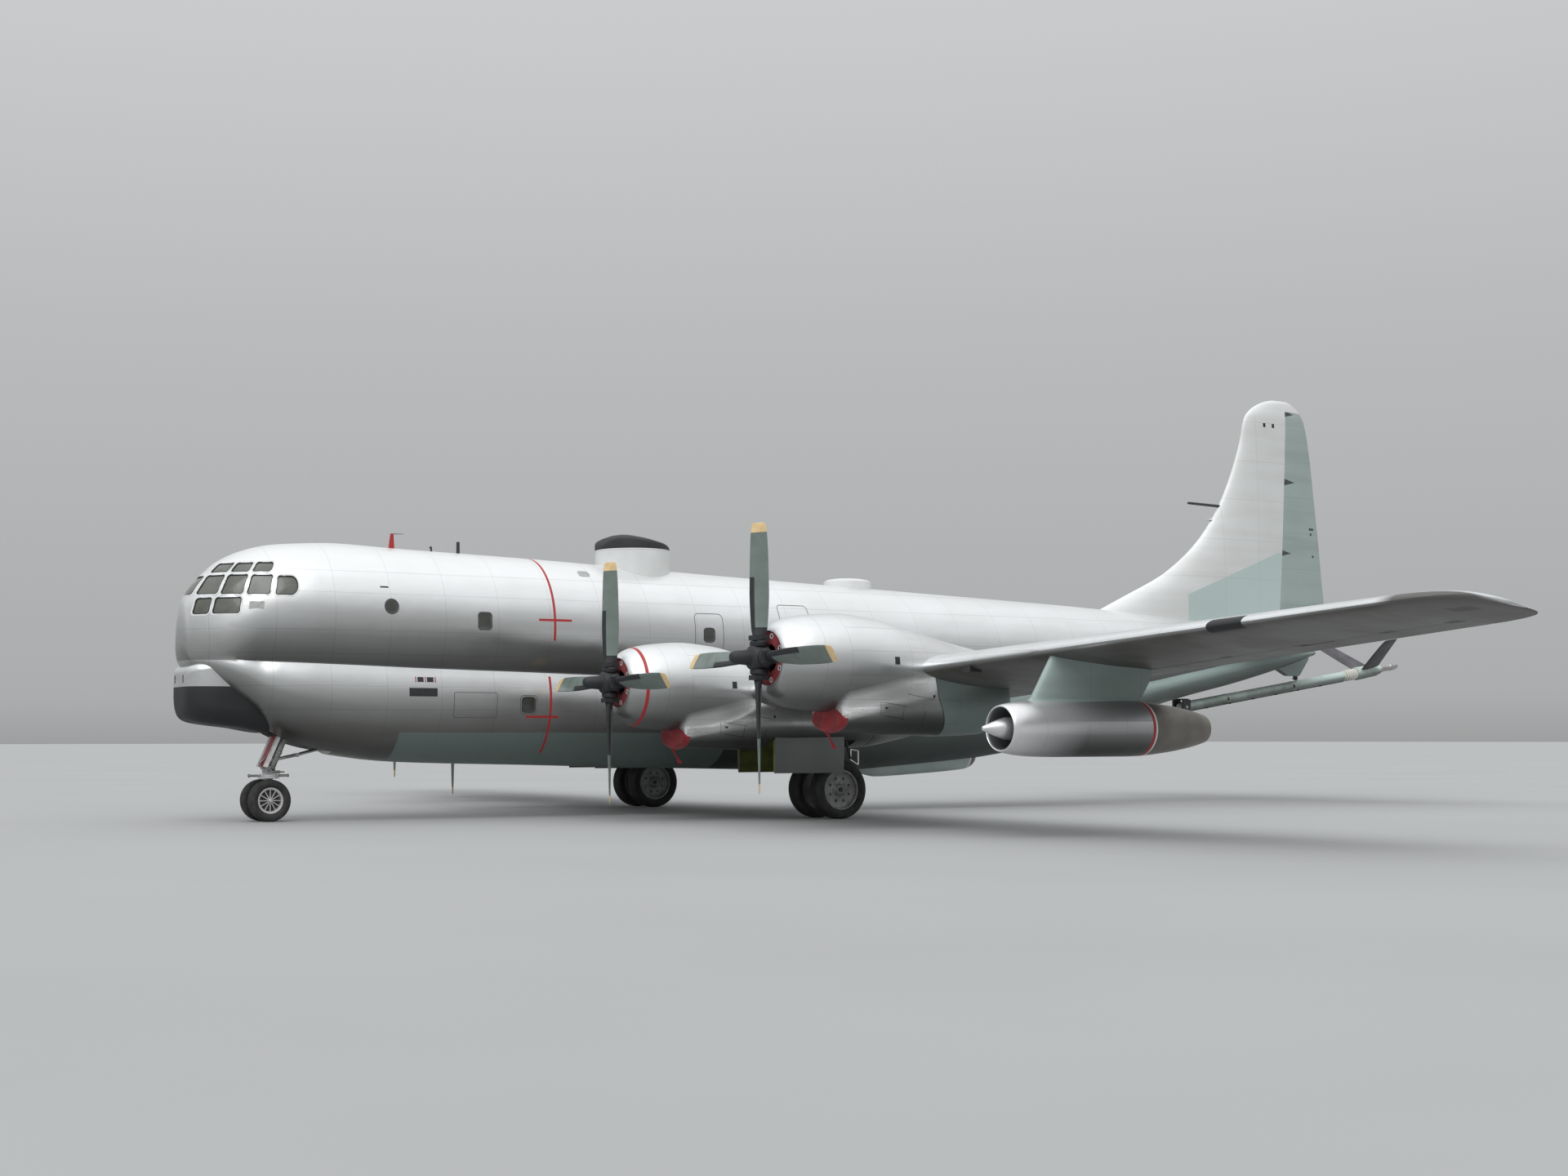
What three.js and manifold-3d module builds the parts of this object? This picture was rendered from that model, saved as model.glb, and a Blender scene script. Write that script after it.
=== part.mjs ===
// A four-engined military transport and tanker aircraft, parked on its wheels, as a 1:2 scale model.
// Every size here is the full-size aircraft's, in millimetres, and the exported group is scaled down.
// In the aircraft's frame +X runs aft from the nose, +Y to starboard and +Z up from the ground.
// Port pieces have a side of -1 and starboard pieces a side of +1.
import * as THREE from "three";
import { mergeVertices } from "three/addons/utils/BufferGeometryUtils.js";
import Module from "manifold-3d";

const wasm = await Module();
wasm.setup();

// Driving dimensions
const SCALE = 1 / 2;
const LENGTH = 36980;
const HALF_SPAN = 21525;
const TOUCH = 1; // between pieces that are fastened together
const CLEAR = 14; // round pieces that move
const WALL = 100; // fuselage skin, frames and lining together
const PORT = -1;
const STARBOARD = 1;

// The refuelling boom's pivot and tubes, its yoke, and the fixed pad above the yoke
const BOOM = { pivotX: 28400, pivotZ: 2660, tubeEnd: 7900, radius: 150, innerRadius: 92, nozzle: 95 };
const YOKE = { radius: 200, top: 2893, bottom: 2860, ear: [155, 225], pin: 45 };
const BOOM_PAD = { radius: 240, bottom: YOKE.top + CLEAR, top: 3200 };

// Solids

// A closed geometry as a solid with its faces turned outwards.
function solid(geometry) {
  const bare = geometry.index ? geometry.toNonIndexed() : geometry.clone();
  for (const name of Object.keys(bare.attributes)) {
    if (name !== "position") bare.deleteAttribute(name);
  }
  const merged = mergeVertices(bare, 1e-3);
  const places = merged.attributes.position;
  const corner = (i) => new THREE.Vector3().fromBufferAttribute(places, i);
  const triangles = [];
  let volume = 0;
  for (let i = 0; i < merged.index.count; i += 3) {
    const [a, b, c] = [merged.index.getX(i), merged.index.getX(i + 1), merged.index.getX(i + 2)];
    if (a === b || b === c || c === a) continue; // a lathe's faces shrink to nothing on its axis
    triangles.push([a, b, c]);
    volume += corner(a).dot(corner(b).cross(corner(c)));
  }
  const facing = volume < 0 ? triangles.map(([a, b, c]) => [b, a, c]) : triangles;
  return new wasm.Manifold(
    new wasm.Mesh({ numProp: 3, vertProperties: places.array, triVerts: Uint32Array.from(facing.flat()) }),
  );
}

function join(...pieces) {
  return pieces.reduce((whole, piece) => whole.add(piece));
}

function cut(body, ...tools) {
  return tools.reduce((rest, tool) => rest.subtract(tool), body);
}

// The named mesh of a solid, in the solid's own coordinates.
function mesh(name, body, material) {
  const faces = body.getMesh();
  const geometry = new THREE.BufferGeometry();
  geometry.setAttribute("position", new THREE.BufferAttribute(Float32Array.from(faces.vertProperties), 3));
  geometry.setIndex(new THREE.BufferAttribute(Uint32Array.from(faces.triVerts), 1));
  geometry.computeVertexNormals();
  const made = new THREE.Mesh(geometry, material);
  made.name = name;
  return made;
}

// A skin through rings of equally many points, with both end rings closed by a fan.
function loft(rings) {
  const n = rings[0].length;
  const points = rings.flat();
  const index = [];
  for (let r = 0; r + 1 < rings.length; r++) {
    for (let i = 0; i < n; i++) {
      const a = r * n + i;
      const b = r * n + ((i + 1) % n);
      index.push(a, b, a + n, b, b + n, a + n);
    }
  }
  for (const end of [0, rings.length - 1]) {
    const middle = new THREE.Vector3();
    rings[end].forEach((point) => middle.addScaledVector(point, 1 / n));
    points.push(middle);
    for (let i = 0; i < n; i++) {
      const a = end * n + i;
      const b = end * n + ((i + 1) % n);
      if (end === 0) index.push(b, a, points.length - 1);
      else index.push(a, b, points.length - 1);
    }
  }
  const geometry = new THREE.BufferGeometry().setFromPoints(points);
  geometry.setIndex(index);
  return solid(geometry);
}

// A turned piece about X from a profile of [x, radius] pairs, either from axis to axis or closed.
function turned(profile, segments) {
  const flat = profile.map(([x, radius]) => new THREE.Vector2(radius, x));
  return solid(new THREE.LatheGeometry(flat, segments).rotateZ(-Math.PI / 2)); // +Y becomes +X
}

function box([x0, x1], [y0, y1], [z0, z1]) {
  const geometry = new THREE.BoxGeometry(x1 - x0, y1 - y0, z1 - z0);
  return solid(geometry.translate((x0 + x1) / 2, (y0 + y1) / 2, (z0 + z1) / 2));
}

// A round bar, or a cone, between two points.
function bar(from, to, radius, endRadius = radius, segments = 16) {
  const a = new THREE.Vector3(...from);
  const b = new THREE.Vector3(...to);
  const along = b.clone().sub(a);
  const geometry = new THREE.CylinderGeometry(endRadius, radius, along.length(), segments);
  geometry.applyQuaternion(
    new THREE.Quaternion().setFromUnitVectors(new THREE.Vector3(0, 1, 0), along.clone().normalize()),
  );
  const middle = a.add(b).multiplyScalar(0.5);
  return solid(geometry.translate(middle.x, middle.y, middle.z));
}

function grown([low, high], by) {
  return [low - by, high + by];
}

// A plate with an outline of [x, z] points, from y0 to y1.
function sidePlate(outline, [y0, y1]) {
  const shape = new THREE.Shape(outline.map(([x, z]) => new THREE.Vector2(x, z)));
  const geometry = new THREE.ExtrudeGeometry(shape, { depth: y1 - y0, bevelEnabled: false });
  geometry.rotateX(Math.PI / 2); // the shape's +Y becomes +Z, and its depth runs along -Y
  return solid(geometry.translate(0, y1, 0));
}

// A block with an outline of [x, y] points, from z0 to z1.
function planBlock(outline, [z0, z1]) {
  const shape = new THREE.Shape(outline.map(([x, y]) => new THREE.Vector2(x, y)));
  const geometry = new THREE.ExtrudeGeometry(shape, { depth: z1 - z0, bevelEnabled: false });
  return solid(geometry.translate(0, 0, z0));
}

// Materials
const paint = (color, roughness, metalness) => new THREE.MeshStandardMaterial({ color, roughness, metalness });
const SILVER = paint(0xc9cccf, 0.38, 0.75);
const WHITE = paint(0xe6e7e8, 0.5, 0.1);
const SAGE = paint(0x8c9d95, 0.55, 0.2);
const DARK_METAL = paint(0x3a3d40, 0.5, 0.6);
const BLACK = paint(0x17191b, 0.6, 0.1);
const BLADE_GREY = paint(0x6f7d79, 0.5, 0.4);
const STEEL = paint(0xa6a9ab, 0.35, 0.85);
const RUBBER = paint(0x1a1b1c, 0.9, 0);
const GLASS = paint(0x4b5557, 0.1, 0.2);
const GREEN_PRIMER = paint(0x8d9455, 0.7, 0.1);
const RED_WHITE = paint(0xb3272c, 0.5, 0.1);

const aircraft = new THREE.Group();

// Fuselage: two lobes that meet at a crease on each side
const CREASE_UP = THREE.MathUtils.degToRad(37.5); // from the upper lobe's middle down to the crease
const CREASE_DOWN = THREE.MathUtils.degToRad(24); // from the lower lobe's middle up to the crease
const UPPER_STEPS = 16;
const LOWER_STEPS = 10;
const NOSE_END = 3430;
const MIDDLE_END = 17000;
const TAIL_END = 33500;

const STATIONS = [
  // x from the nose, crown, crease and keel heights, half width of the upper lobe
  [0, 4430, 3950, 3790, 330],
  [50, 4700, 3700, 3560, 430],
  [120, 4900, 3500, 3340, 540],
  [450, 5300, 3478, 3020, 960],
  [840, 5640, 3468, 2690, 1240],
  [1370, 5890, 3455, 2300, 1480],
  [1910, 6030, 3442, 1890, 1616],
  [2600, 6100, 3425, 1600, 1676],
  [NOSE_END, 6140, 3405, 1430, 1676],
  [4720, 6090, 3365, 1285, 1676],
  [8240, 5985, 3290, 1180, 1676],
  [11970, 5830, 3195, 1080, 1676],
  [MIDDLE_END, 5640, 3070, 1000, 1676],
  [19750, 5535, 3000, 1150, 1676],
  [21950, 5455, 3000, 1400, 1640],
  [24900, 5335, 3150, 2080, 1470],
  [28000, 5140, 3620, 2870, 1080],
  [30200, 4970, 3980, 3330, 780],
  [32000, 4790, 4180, 3770, 500],
  [TAIL_END, 4500, 4320, 4200, 140],
].map(([x, crown, crease, keel, half]) => ({ x, crown, crease, keel, half }));

// One section, taken in by inset all round.
function lobes({ x, crown, crease, keel, half }, inset) {
  const upHigh = (crown - inset - crease) / (1 + Math.sin(CREASE_UP));
  const downHigh = (crease - keel - inset) / (1 + Math.sin(CREASE_DOWN));
  const upWide = half - inset;
  const downWide = (upWide * Math.cos(CREASE_UP)) / Math.cos(CREASE_DOWN);
  const ring = [];
  for (let i = 0; i <= UPPER_STEPS; i++) {
    const angle = -CREASE_UP + ((Math.PI + 2 * CREASE_UP) * i) / UPPER_STEPS;
    const z = crease + upHigh * (Math.sin(CREASE_UP) + Math.sin(angle));
    ring.push(new THREE.Vector3(x, upWide * Math.cos(angle), z));
  }
  for (let i = 1; i < LOWER_STEPS; i++) {
    const angle = Math.PI - CREASE_DOWN + ((Math.PI + 2 * CREASE_DOWN) * i) / LOWER_STEPS;
    const z = crease + downHigh * (Math.sin(angle) - Math.sin(CREASE_DOWN));
    ring.push(new THREE.Vector3(x, downWide * Math.cos(angle), z));
  }
  return ring;
}

function fuselage(fromX, toX, inset = 0, shiftX = 0) {
  const stations = STATIONS.filter(({ x }) => x >= fromX && x <= toX);
  return loft(stations.map((station) => lobes({ ...station, x: station.x + shiftX }, inset)));
}

const fuselageSpace = fuselage(0, TAIL_END, -TOUCH); // the fuselage and the gap round it

// Cockpit windows, by bearing from straight ahead as seen from the middle of the flight deck
const FLIGHT_DECK_X = 2600;
const WINDOWS = [
  // first and last bearing in degrees, sill and head heights
  [-7, 7, 4870, 5290],
  [9.5, 22.5, 4870, 5290],
  [24.5, 38, 4860, 5290],
  [40.5, 55, 4850, 5280],
  [58.5, 74, 4840, 5260],
  [11.5, 25, 5370, 5580],
  [27, 39, 5370, 5580],
  [41, 53.5, 5370, 5590],
  [11, 22.5, 4450, 4800],
  [24.5, 38.5, 4450, 4800],
];
const WINDOW_REACH = 3400;

function windowTool([first, last, sill, head], side) {
  const corners = [first, last].map((bearing) => {
    const angle = THREE.MathUtils.degToRad(bearing);
    return [FLIGHT_DECK_X - WINDOW_REACH * Math.cos(angle), side * WINDOW_REACH * Math.sin(angle)];
  });
  return planBlock([[FLIGHT_DECK_X, 0], ...corners], [sill, head]);
}

const NOSE_WELL = { x: [1830, 3300], y: [-430, 430], z: [1000, 2330], wall: 55 };

function noseSection() {
  const cabin = fuselage(120, 4720, WALL, WALL);
  const shell = cut(fuselage(0, NOSE_END), cabin);
  const well = box(
    grown(NOSE_WELL.x, NOSE_WELL.wall),
    grown(NOSE_WELL.y, NOSE_WELL.wall),
    [NOSE_WELL.z[0], NOSE_WELL.z[1] + NOSE_WELL.wall],
  ).intersect(fuselage(0, NOSE_END));
  const chinTop = chin().intersect(box([-100, 2400], [-1200, 1200], [CHIN_SPLIT, 3440]));
  const upper = cut(chinTop, cabin);
  const windows = WINDOWS.flatMap((row) => (row[0] < 0 ? [1] : [PORT, STARBOARD]).map((side) => windowTool(row, side)));
  return cut(join(shell, upper, well), box(NOSE_WELL.x, NOSE_WELL.y, NOSE_WELL.z), ...windows);
}

// Chin: a silver fairing above and a black radome below
const CHIN_SPLIT = 2900;
const CHIN = [
  // x, half width, bottom height
  [30, 470, 2330],
  [110, 680, 2240],
  [320, 860, 2150],
  [700, 950, 2090],
  [1200, 950, 2030],
  [1750, 800, 1930],
  [2100, 450, 1900],
];
const CHIN_TOP = 3430;
const CHIN_CORNER_STEPS = 6;

function chin() {
  return loft(
    CHIN.map(([x, half, bottom]) => {
      const radius = Math.min(half, 420);
      const ring = [new THREE.Vector3(x, -half, CHIN_TOP)];
      for (const side of [PORT, STARBOARD]) {
        for (let i = 0; i <= CHIN_CORNER_STEPS; i++) {
          const turn = (Math.PI / 2) * (side < 0 ? i / CHIN_CORNER_STEPS : 1 - i / CHIN_CORNER_STEPS);
          const y = side * (half - radius + radius * Math.cos(turn));
          ring.push(new THREE.Vector3(x, y, bottom + radius * (1 - Math.sin(turn))));
        }
      }
      ring.push(new THREE.Vector3(x, half, CHIN_TOP));
      return ring;
    }),
  );
}

function chinRadome() {
  const below = box([-100, 2600], [-1200, 1200], [1000, CHIN_SPLIT - TOUCH]);
  return cut(chin().intersect(below), fuselageSpace);
}

const GLAZING = { x: [150, 3000], z: [4380, 5680], thick: 30 };

function cockpitGlazing() {
  const outside = fuselage(120, NOSE_END, WALL + TOUCH, WALL + TOUCH);
  const inside = fuselage(120, NOSE_END, WALL + GLAZING.thick, WALL + GLAZING.thick);
  return cut(outside, inside).intersect(box(GLAZING.x, [-2000, 2000], GLAZING.z));
}

// Flight deck: floor, instrument panel, four seats and the rear bulkhead, all on the floor
const DECK = { x: [700, 3380], z: [3560, 3640], half: 1230 };
const SEATS = [
  // x and y of the seat's middle
  [1650, -520],
  [1650, 520],
  [2650, -620],
  [2650, 620],
];

function flightDeck() {
  const inner = fuselage(120, NOSE_END, WALL + TOUCH, WALL + TOUCH);
  const floor = box(DECK.x, [-1500, 1500], DECK.z);
  const bulkhead = box([3310, 3380], [-1700, 1700], [DECK.z[0], 6200]);
  const panel = box([900, 1060], [-900, 900], [DECK.z[1] - 5, 4560]);
  const pedestal = box([1000, 1900], [-150, 150], [DECK.z[1] - 5, 4150]);
  const seats = SEATS.flatMap(([x, y]) => [
    box([x - 230, x + 230], [y - 230, y + 230], [DECK.z[1] - 5, 4080]),
    box([x + 150, x + 260], [y - 230, y + 230], [4000, 4780]),
  ]);
  return join(floor, bulkhead, panel, pedestal, ...seats).intersect(inner);
}

aircraft.add(mesh("fuselage_nose", noseSection(), SILVER));
aircraft.add(mesh("chin_radome", chinRadome(), BLACK));
aircraft.add(mesh("cockpit_glazing", cockpitGlazing(), GLASS));
aircraft.add(mesh("flight_deck", flightDeck(), DARK_METAL));

// The middle section has tanks below the main deck and an open hold above it
const MAIN_DECK = 3480;

function middleSection() {
  const hold = fuselage(2600, 19750, WALL).intersect(box([0, 20000], [-2000, 2000], [MAIN_DECK, 6500]));
  const ends = box([NOSE_END + TOUCH, MIDDLE_END - TOUCH], [-3000, 3000], [0, 7000]);
  return cut(fuselage(NOSE_END, MIDDLE_END).intersect(ends), hold);
}

// The aft section, with a flat pad under it that the refuelling boom's yoke turns on.
function aftSection() {
  const { pivotX } = BOOM;
  const pad = bar([pivotX, 0, BOOM_PAD.bottom], [pivotX, 0, BOOM_PAD.top], BOOM_PAD.radius, BOOM_PAD.radius, 20);
  return cut(join(fuselage(MIDDLE_END, TAIL_END), pad), fuselage(11970, 30200, WALL));
}

// Boom operator's pod under the belly, just ahead of where the keel sweeps up
const POD = [
  // x, half width, bottom height
  [17400, 200, 950],
  [18000, 420, 815],
  [19200, 450, 875],
  [20350, 430, 950],
  [20860, 330, 1010],
  [21170, 90, 1260],
];
const POD_TOP = 1500;

function operatorPod() {
  const rings = POD.map(([x, half, bottom]) => {
    const steps = 12;
    const ring = [];
    for (let i = 0; i <= steps; i++) {
      const turn = (Math.PI * i) / steps;
      ring.push(new THREE.Vector3(x, half * Math.cos(turn), POD_TOP - (POD_TOP - bottom) * Math.sin(turn)));
    }
    return ring;
  });
  return cut(loft(rings), fuselageSpace);
}

// The drum on the crown, with its sloping cap
const DRUM = { x: 11000, radius: 900, base: 5600, rim: 6290, peakX: -250, peak: 6660, aft: 6330 };

function dorsalDrum() {
  const barrel = solid(
    new THREE.CylinderGeometry(DRUM.radius, DRUM.radius, DRUM.rim - DRUM.base, 32)
      .rotateX(Math.PI / 2)
      .translate(DRUM.x, 0, (DRUM.rim + DRUM.base) / 2),
  );
  const profile = [
    [DRUM.x - DRUM.radius, DRUM.rim - 20],
    [DRUM.x + DRUM.radius, DRUM.rim - 20],
    [DRUM.x + DRUM.radius, DRUM.aft],
    [DRUM.x + DRUM.peakX + 250, DRUM.peak],
    [DRUM.x + DRUM.peakX - 350, DRUM.peak],
    [DRUM.x - DRUM.radius, DRUM.rim + 80],
  ];
  const wedge = sidePlate(profile, [-1200, 1200]);
  const column = solid(
    new THREE.CylinderGeometry(DRUM.radius, DRUM.radius, 1400, 32).rotateX(Math.PI / 2).translate(DRUM.x, 0, 6500),
  );
  return cut(join(barrel, wedge.intersect(column)), fuselageSpace);
}

aircraft.add(mesh("fuselage_middle", middleSection(), SILVER));
aircraft.add(mesh("fuselage_aft", aftSection(), SILVER));
aircraft.add(mesh("boom_operator_pod", operatorPod(), SAGE));
aircraft.add(mesh("dorsal_drum", dorsalDrum(), WHITE));

// Wings and tail: flat-sided foils between two sections
const FOIL_STEPS = 5;

// Half thickness of a foil, as a share of its full thickness, at a share of the chord.
function foilHalf(share) {
  const [a, b, c, d, e] = [0.2969, -0.126, -0.3516, 0.2843, -0.1015];
  return 5 * (a * Math.sqrt(share) + b * share + c * share ** 2 + d * share ** 3 + e * share ** 4);
}

// A section from its leading to its trailing point, thick across the line that joins them.
function foil(lead, trail, thickness, across, steps = FOIL_STEPS) {
  const from = new THREE.Vector3(...lead);
  const chord = new THREE.Vector3(...trail).sub(from);
  const lift = new THREE.Vector3(...across).normalize();
  const ring = [];
  for (let i = -steps; i <= steps; i++) {
    const share = (1 - Math.cos((Math.PI * i) / steps)) / 2;
    const half = foilHalf(share) * thickness * Math.sign(i);
    ring.push(from.clone().addScaledVector(chord, share).addScaledVector(lift, half));
  }
  return ring;
}

// Where a wing's chord line lies at a distance out from the middle, and how thick it is there.
const WING = {
  noseX: 10474, noseSweep: 0.125, noseZ: 2430, noseRise: 0.069,
  rootChord: 5180, tipChord: 2260, tailZ: 1990, tailRise: 0.077,
  rootThick: 0.185, tipThick: 0.11,
};

function wingAt(out) {
  const share = out / HALF_SPAN;
  const chord = THREE.MathUtils.lerp(WING.rootChord, WING.tipChord, share);
  const noseX = WING.noseX + WING.noseSweep * out;
  return {
    chord,
    noseX,
    tailX: noseX + chord,
    noseZ: WING.noseZ + WING.noseRise * out,
    tailZ: WING.tailZ + WING.tailRise * out,
    thick: chord * THREE.MathUtils.lerp(WING.rootThick, WING.tipThick, share),
  };
}

// The wing's section is bent: how far its middle line lies above the straight one, as a share of the chord.
const CAMBER = { most: 0.026, at: 0.3 };

function camberAt(share) {
  const { most, at } = CAMBER;
  if (share < at) return (most / at ** 2) * (2 * at * share - share ** 2);
  return (most / (1 - at) ** 2) * (1 - 2 * at + 2 * at * share - share ** 2);
}

function wingPoint(side, out, share) {
  const { chord, noseX, tailX, noseZ, tailZ } = wingAt(out);
  const height = THREE.MathUtils.lerp(noseZ, tailZ, share) + chord * camberAt(share);
  return [THREE.MathUtils.lerp(noseX, tailX, share), side * out, height];
}

// Rounding of the tip: distance in from the tip, the shares of the chord where the section starts
// and ends, and how much of the thickness is left.
const TIP_ROUNDING = [
  [1000, 0, 1, 1],
  [620, 0.03, 0.993, 0.96],
  [300, 0.105, 0.97, 0.83],
  [110, 0.23, 0.93, 0.63],
  [0, 0.5, 0.78, 0.25],
];

const WING_STATIONS = [1000, 7000, 13100, 16800, HALF_SPAN - TIP_ROUNDING[0][0]];

function wingSection(side, out, start, end, left) {
  const ring = [];
  for (let i = -FOIL_STEPS; i <= FOIL_STEPS; i++) {
    const share = (1 - Math.cos((Math.PI * i) / FOIL_STEPS)) / 2;
    const half = foilHalf(share) * wingAt(out).thick * left * Math.sign(i);
    const [x, y, z] = wingPoint(side, out, THREE.MathUtils.lerp(start, end, share));
    ring.push(new THREE.Vector3(x, y, z + half));
  }
  return ring;
}

function wingSkin(side) {
  const tip = TIP_ROUNDING.slice(1).map(([inward, ...rest]) => [HALF_SPAN - inward, ...rest]);
  const rings = [...WING_STATIONS.map((out) => [out, 0, 1, 1]), ...tip];
  return loft(rings.map((row) => wingSection(side, ...row)));
}

const HINGE_SEGMENTS = 16;
const HINGE_FULLNESS = 0.95; // the rounded front of a control surface lies a little inside the skin
const FAR = 60000;

// A control surface behind a hinge line, which runs spanwise or, if upright, up the fin: the space
// that it takes from what carries it, and the space that it fills itself. Each point of the line has
// half the skin's thickness there, which is how far the surface's corners swing.
function hingedPart(line, upright = false) {
  const points = line.map(([x, y, z]) => new THREE.Vector3(x, y, z));
  const [a, b] = [points[0], points.at(-1)];
  const past = 0.1; // the line is carried on at both ends by this share, and cut square
  const [start, end] = [a.clone().lerp(b, -past), a.clone().lerp(b, 1 + past)];
  const stops = [start, ...points, end];
  const halves = [line[0], ...line, line.at(-1)].map(([, , , half]) => half);
  const facing = new THREE.Quaternion().setFromUnitVectors(new THREE.Vector3(0, 0, 1), b.clone().sub(a).normalize());
  const roll = (share, more) => {
    const rings = stops.map((stop, i) => {
      const radius = halves[i] * share + more;
      return Array.from({ length: HINGE_SEGMENTS }, (_, step) => {
        const angle = (2 * Math.PI * step) / HINGE_SEGMENTS;
        const point = new THREE.Vector3(radius * Math.cos(angle), radius * Math.sin(angle), 0);
        return point.applyQuaternion(facing).add(stop);
      });
    });
    return loft(rings);
  };
  const ends = upright ? [a.z, b.z] : [a.y, b.y].sort((p, q) => p - q);
  const slice = (trim) => {
    const range = grown(ends, -trim);
    return upright ? box([0, FAR], [-FAR, FAR], range) : box([0, FAR], range, [-FAR, FAR]);
  };
  const aft = (shift) => {
    const across = (point) => (upright ? point.z : point.y);
    const outline = [
      [start.x + shift, across(start)],
      [end.x + shift, across(end)],
      [FAR, across(end)],
      [FAR, across(start)],
    ];
    return upright ? sidePlate(outline, [-FAR, FAR]) : planBlock(outline, [-FAR, FAR]);
  };
  return {
    bay: join(aft(0), roll(1, CLEAR)).intersect(slice(0)),
    part: join(aft(TOUCH), roll(HINGE_FULLNESS, 0)).intersect(slice(CLEAR)),
  };
}

const AILERON = { inner: 13100, outer: 20500, share: 0.76 };
const FLAP = { inner: 1640, outer: 12950, share: 0.745, gap: 16 };

function aileronParts(side) {
  const { inner, outer, share } = AILERON;
  const stations = [inner, ...WING_STATIONS.filter((out) => out > inner && out < outer), outer];
  return hingedPart(stations.map((out) => [...wingPoint(side, out, share), foilHalf(share) * wingAt(out).thick]));
}

function flapSpace(side, trim) {
  const inner = wingPoint(side, FLAP.inner + trim, FLAP.share);
  const outer = wingPoint(side, FLAP.outer - trim, FLAP.share);
  const outline = [
    [inner[0] + trim, inner[1]],
    [outer[0] + trim, outer[1]],
    [FAR, outer[1]],
    [FAR, inner[1]],
  ];
  return planBlock(outline, [-FAR, FAR]);
}

// Engine nacelles: the cowl, and the body below it
const ENGINES = [
  // number, side, propeller's distance out, x and height
  [1, PORT, 9660, 8620, 3320, false],
  [2, PORT, 4345, 8160, 2980, true],
  [3, STARBOARD, 4345, 8160, 2980, true],
  [4, STARBOARD, 9660, 8620, 3320, false],
].map(([number, side, out, x, z, inboard]) => ({ number, side, out, x, y: side * out, z, inboard }));

const COWL = [
  // distance behind the propeller, height of the middle, half height, half width
  [215, -60, 640, 600],
  [330, -75, 755, 700],
  [560, -80, 850, 800],
  [1050, -75, 925, 900],
  [1700, -70, 960, 945],
  [2400, -115, 945, 950],
  [3100, -180, 860, 900],
  [4000, -260, 720, 740],
  [4800, -300, 600, 520],
  [5500, -300, 430, 260],
];
const OUTBOARD_DUCT = [
  [1560, -1150, 250, 540],
  [2000, -1110, 300, 610],
  [2600, -1030, 430, 680],
  [3400, -960, 510, 670],
  [4300, -930, 560, 640],
  [5000, -900, 560, 600],
  [5400, -850, 500, 540],
  [5650, -760, 380, 430],
  [5800, -640, 200, 240],
];
const INBOARD_DUCT = [
  [1560, -1150, 250, 540],
  [2000, -1110, 300, 610],
  [2600, -1000, 420, 760],
  [3300, -880, 560, 900],
  [4200, -850, 600, 950],
  [5600, -830, 590, 950],
  [6380, -790, 600, 900],
  [7200, -720, 540, 640],
  [7800, -640, 480, 400],
  [8000, -560, 300, 240],
];
const COWL_STEPS = 16;

function ovals(rows, middleY, x0, z0) {
  return loft(
    rows.map(([back, middle, high, wide]) =>
      Array.from({ length: COWL_STEPS }, (_, i) => {
        const angle = (2 * Math.PI * i) / COWL_STEPS;
        const y = middleY + wide * Math.cos(angle);
        return new THREE.Vector3(x0 + back, y, z0 + middle + high * Math.sin(angle));
      }),
    ),
  );
}

const COWL_BORE = [
  // x behind the propeller, radius
  [100, 0],
  [100, 530],
  [420, 530],
  [700, 720],
  [2620, 720],
  [2620, 0],
];
const WHEEL_WELL = { x: [11720, 13990], half: 700, top: 2120 };

function nacelle({ y, x, z, inboard }, wing) {
  const cowl = ovals(COWL, y, x, z);
  const duct = ovals(inboard ? INBOARD_DUCT : OUTBOARD_DUCT, y, x, z);
  const bore = turned(COWL_BORE, 16).translate(x, y, z);
  const scoop = ovals(
    [
      [1400, -1150, 190, 470],
      [1900, -1120, 190, 470],
    ],
    y,
    x,
    z,
  );
  const tools = [bore, scoop, ...wing];
  if (inboard) tools.push(box(WHEEL_WELL.x, [y - WHEEL_WELL.half, y + WHEEL_WELL.half], [0, WHEEL_WELL.top]));
  return cut(join(cowl, duct), ...tools);
}

const TAIL_CONE_X = 14440; // the inboard nacelle's tail behind here moves with the flap

// The biggest of the separate bodies that a cut leaves.
function largest(body) {
  return body.decompose().reduce((best, one) => (one.volume() > best.volume() ? one : best));
}

// A solid and its copies a touching gap above, below and ahead of it.
function withGap(body) {
  return [body, body.translate(0, 0, TOUCH), body.translate(0, 0, -TOUCH), body.translate(-TOUCH, 0, 0)];
}

function nacelleTail(engine, fixedWing) {
  const { x, y, z } = engine;
  const behind = box([TAIL_CONE_X, 20000], [y - 1500, y + 1500], [0, 6000]);
  const room = [0, CLEAR].flatMap((aft) => [-CLEAR, 0, CLEAR].map((up) => fixedWing.translate(aft, 0, up)));
  return largest(cut(ovals(INBOARD_DUCT, y, x, z).intersect(behind), ...room));
}

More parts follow.
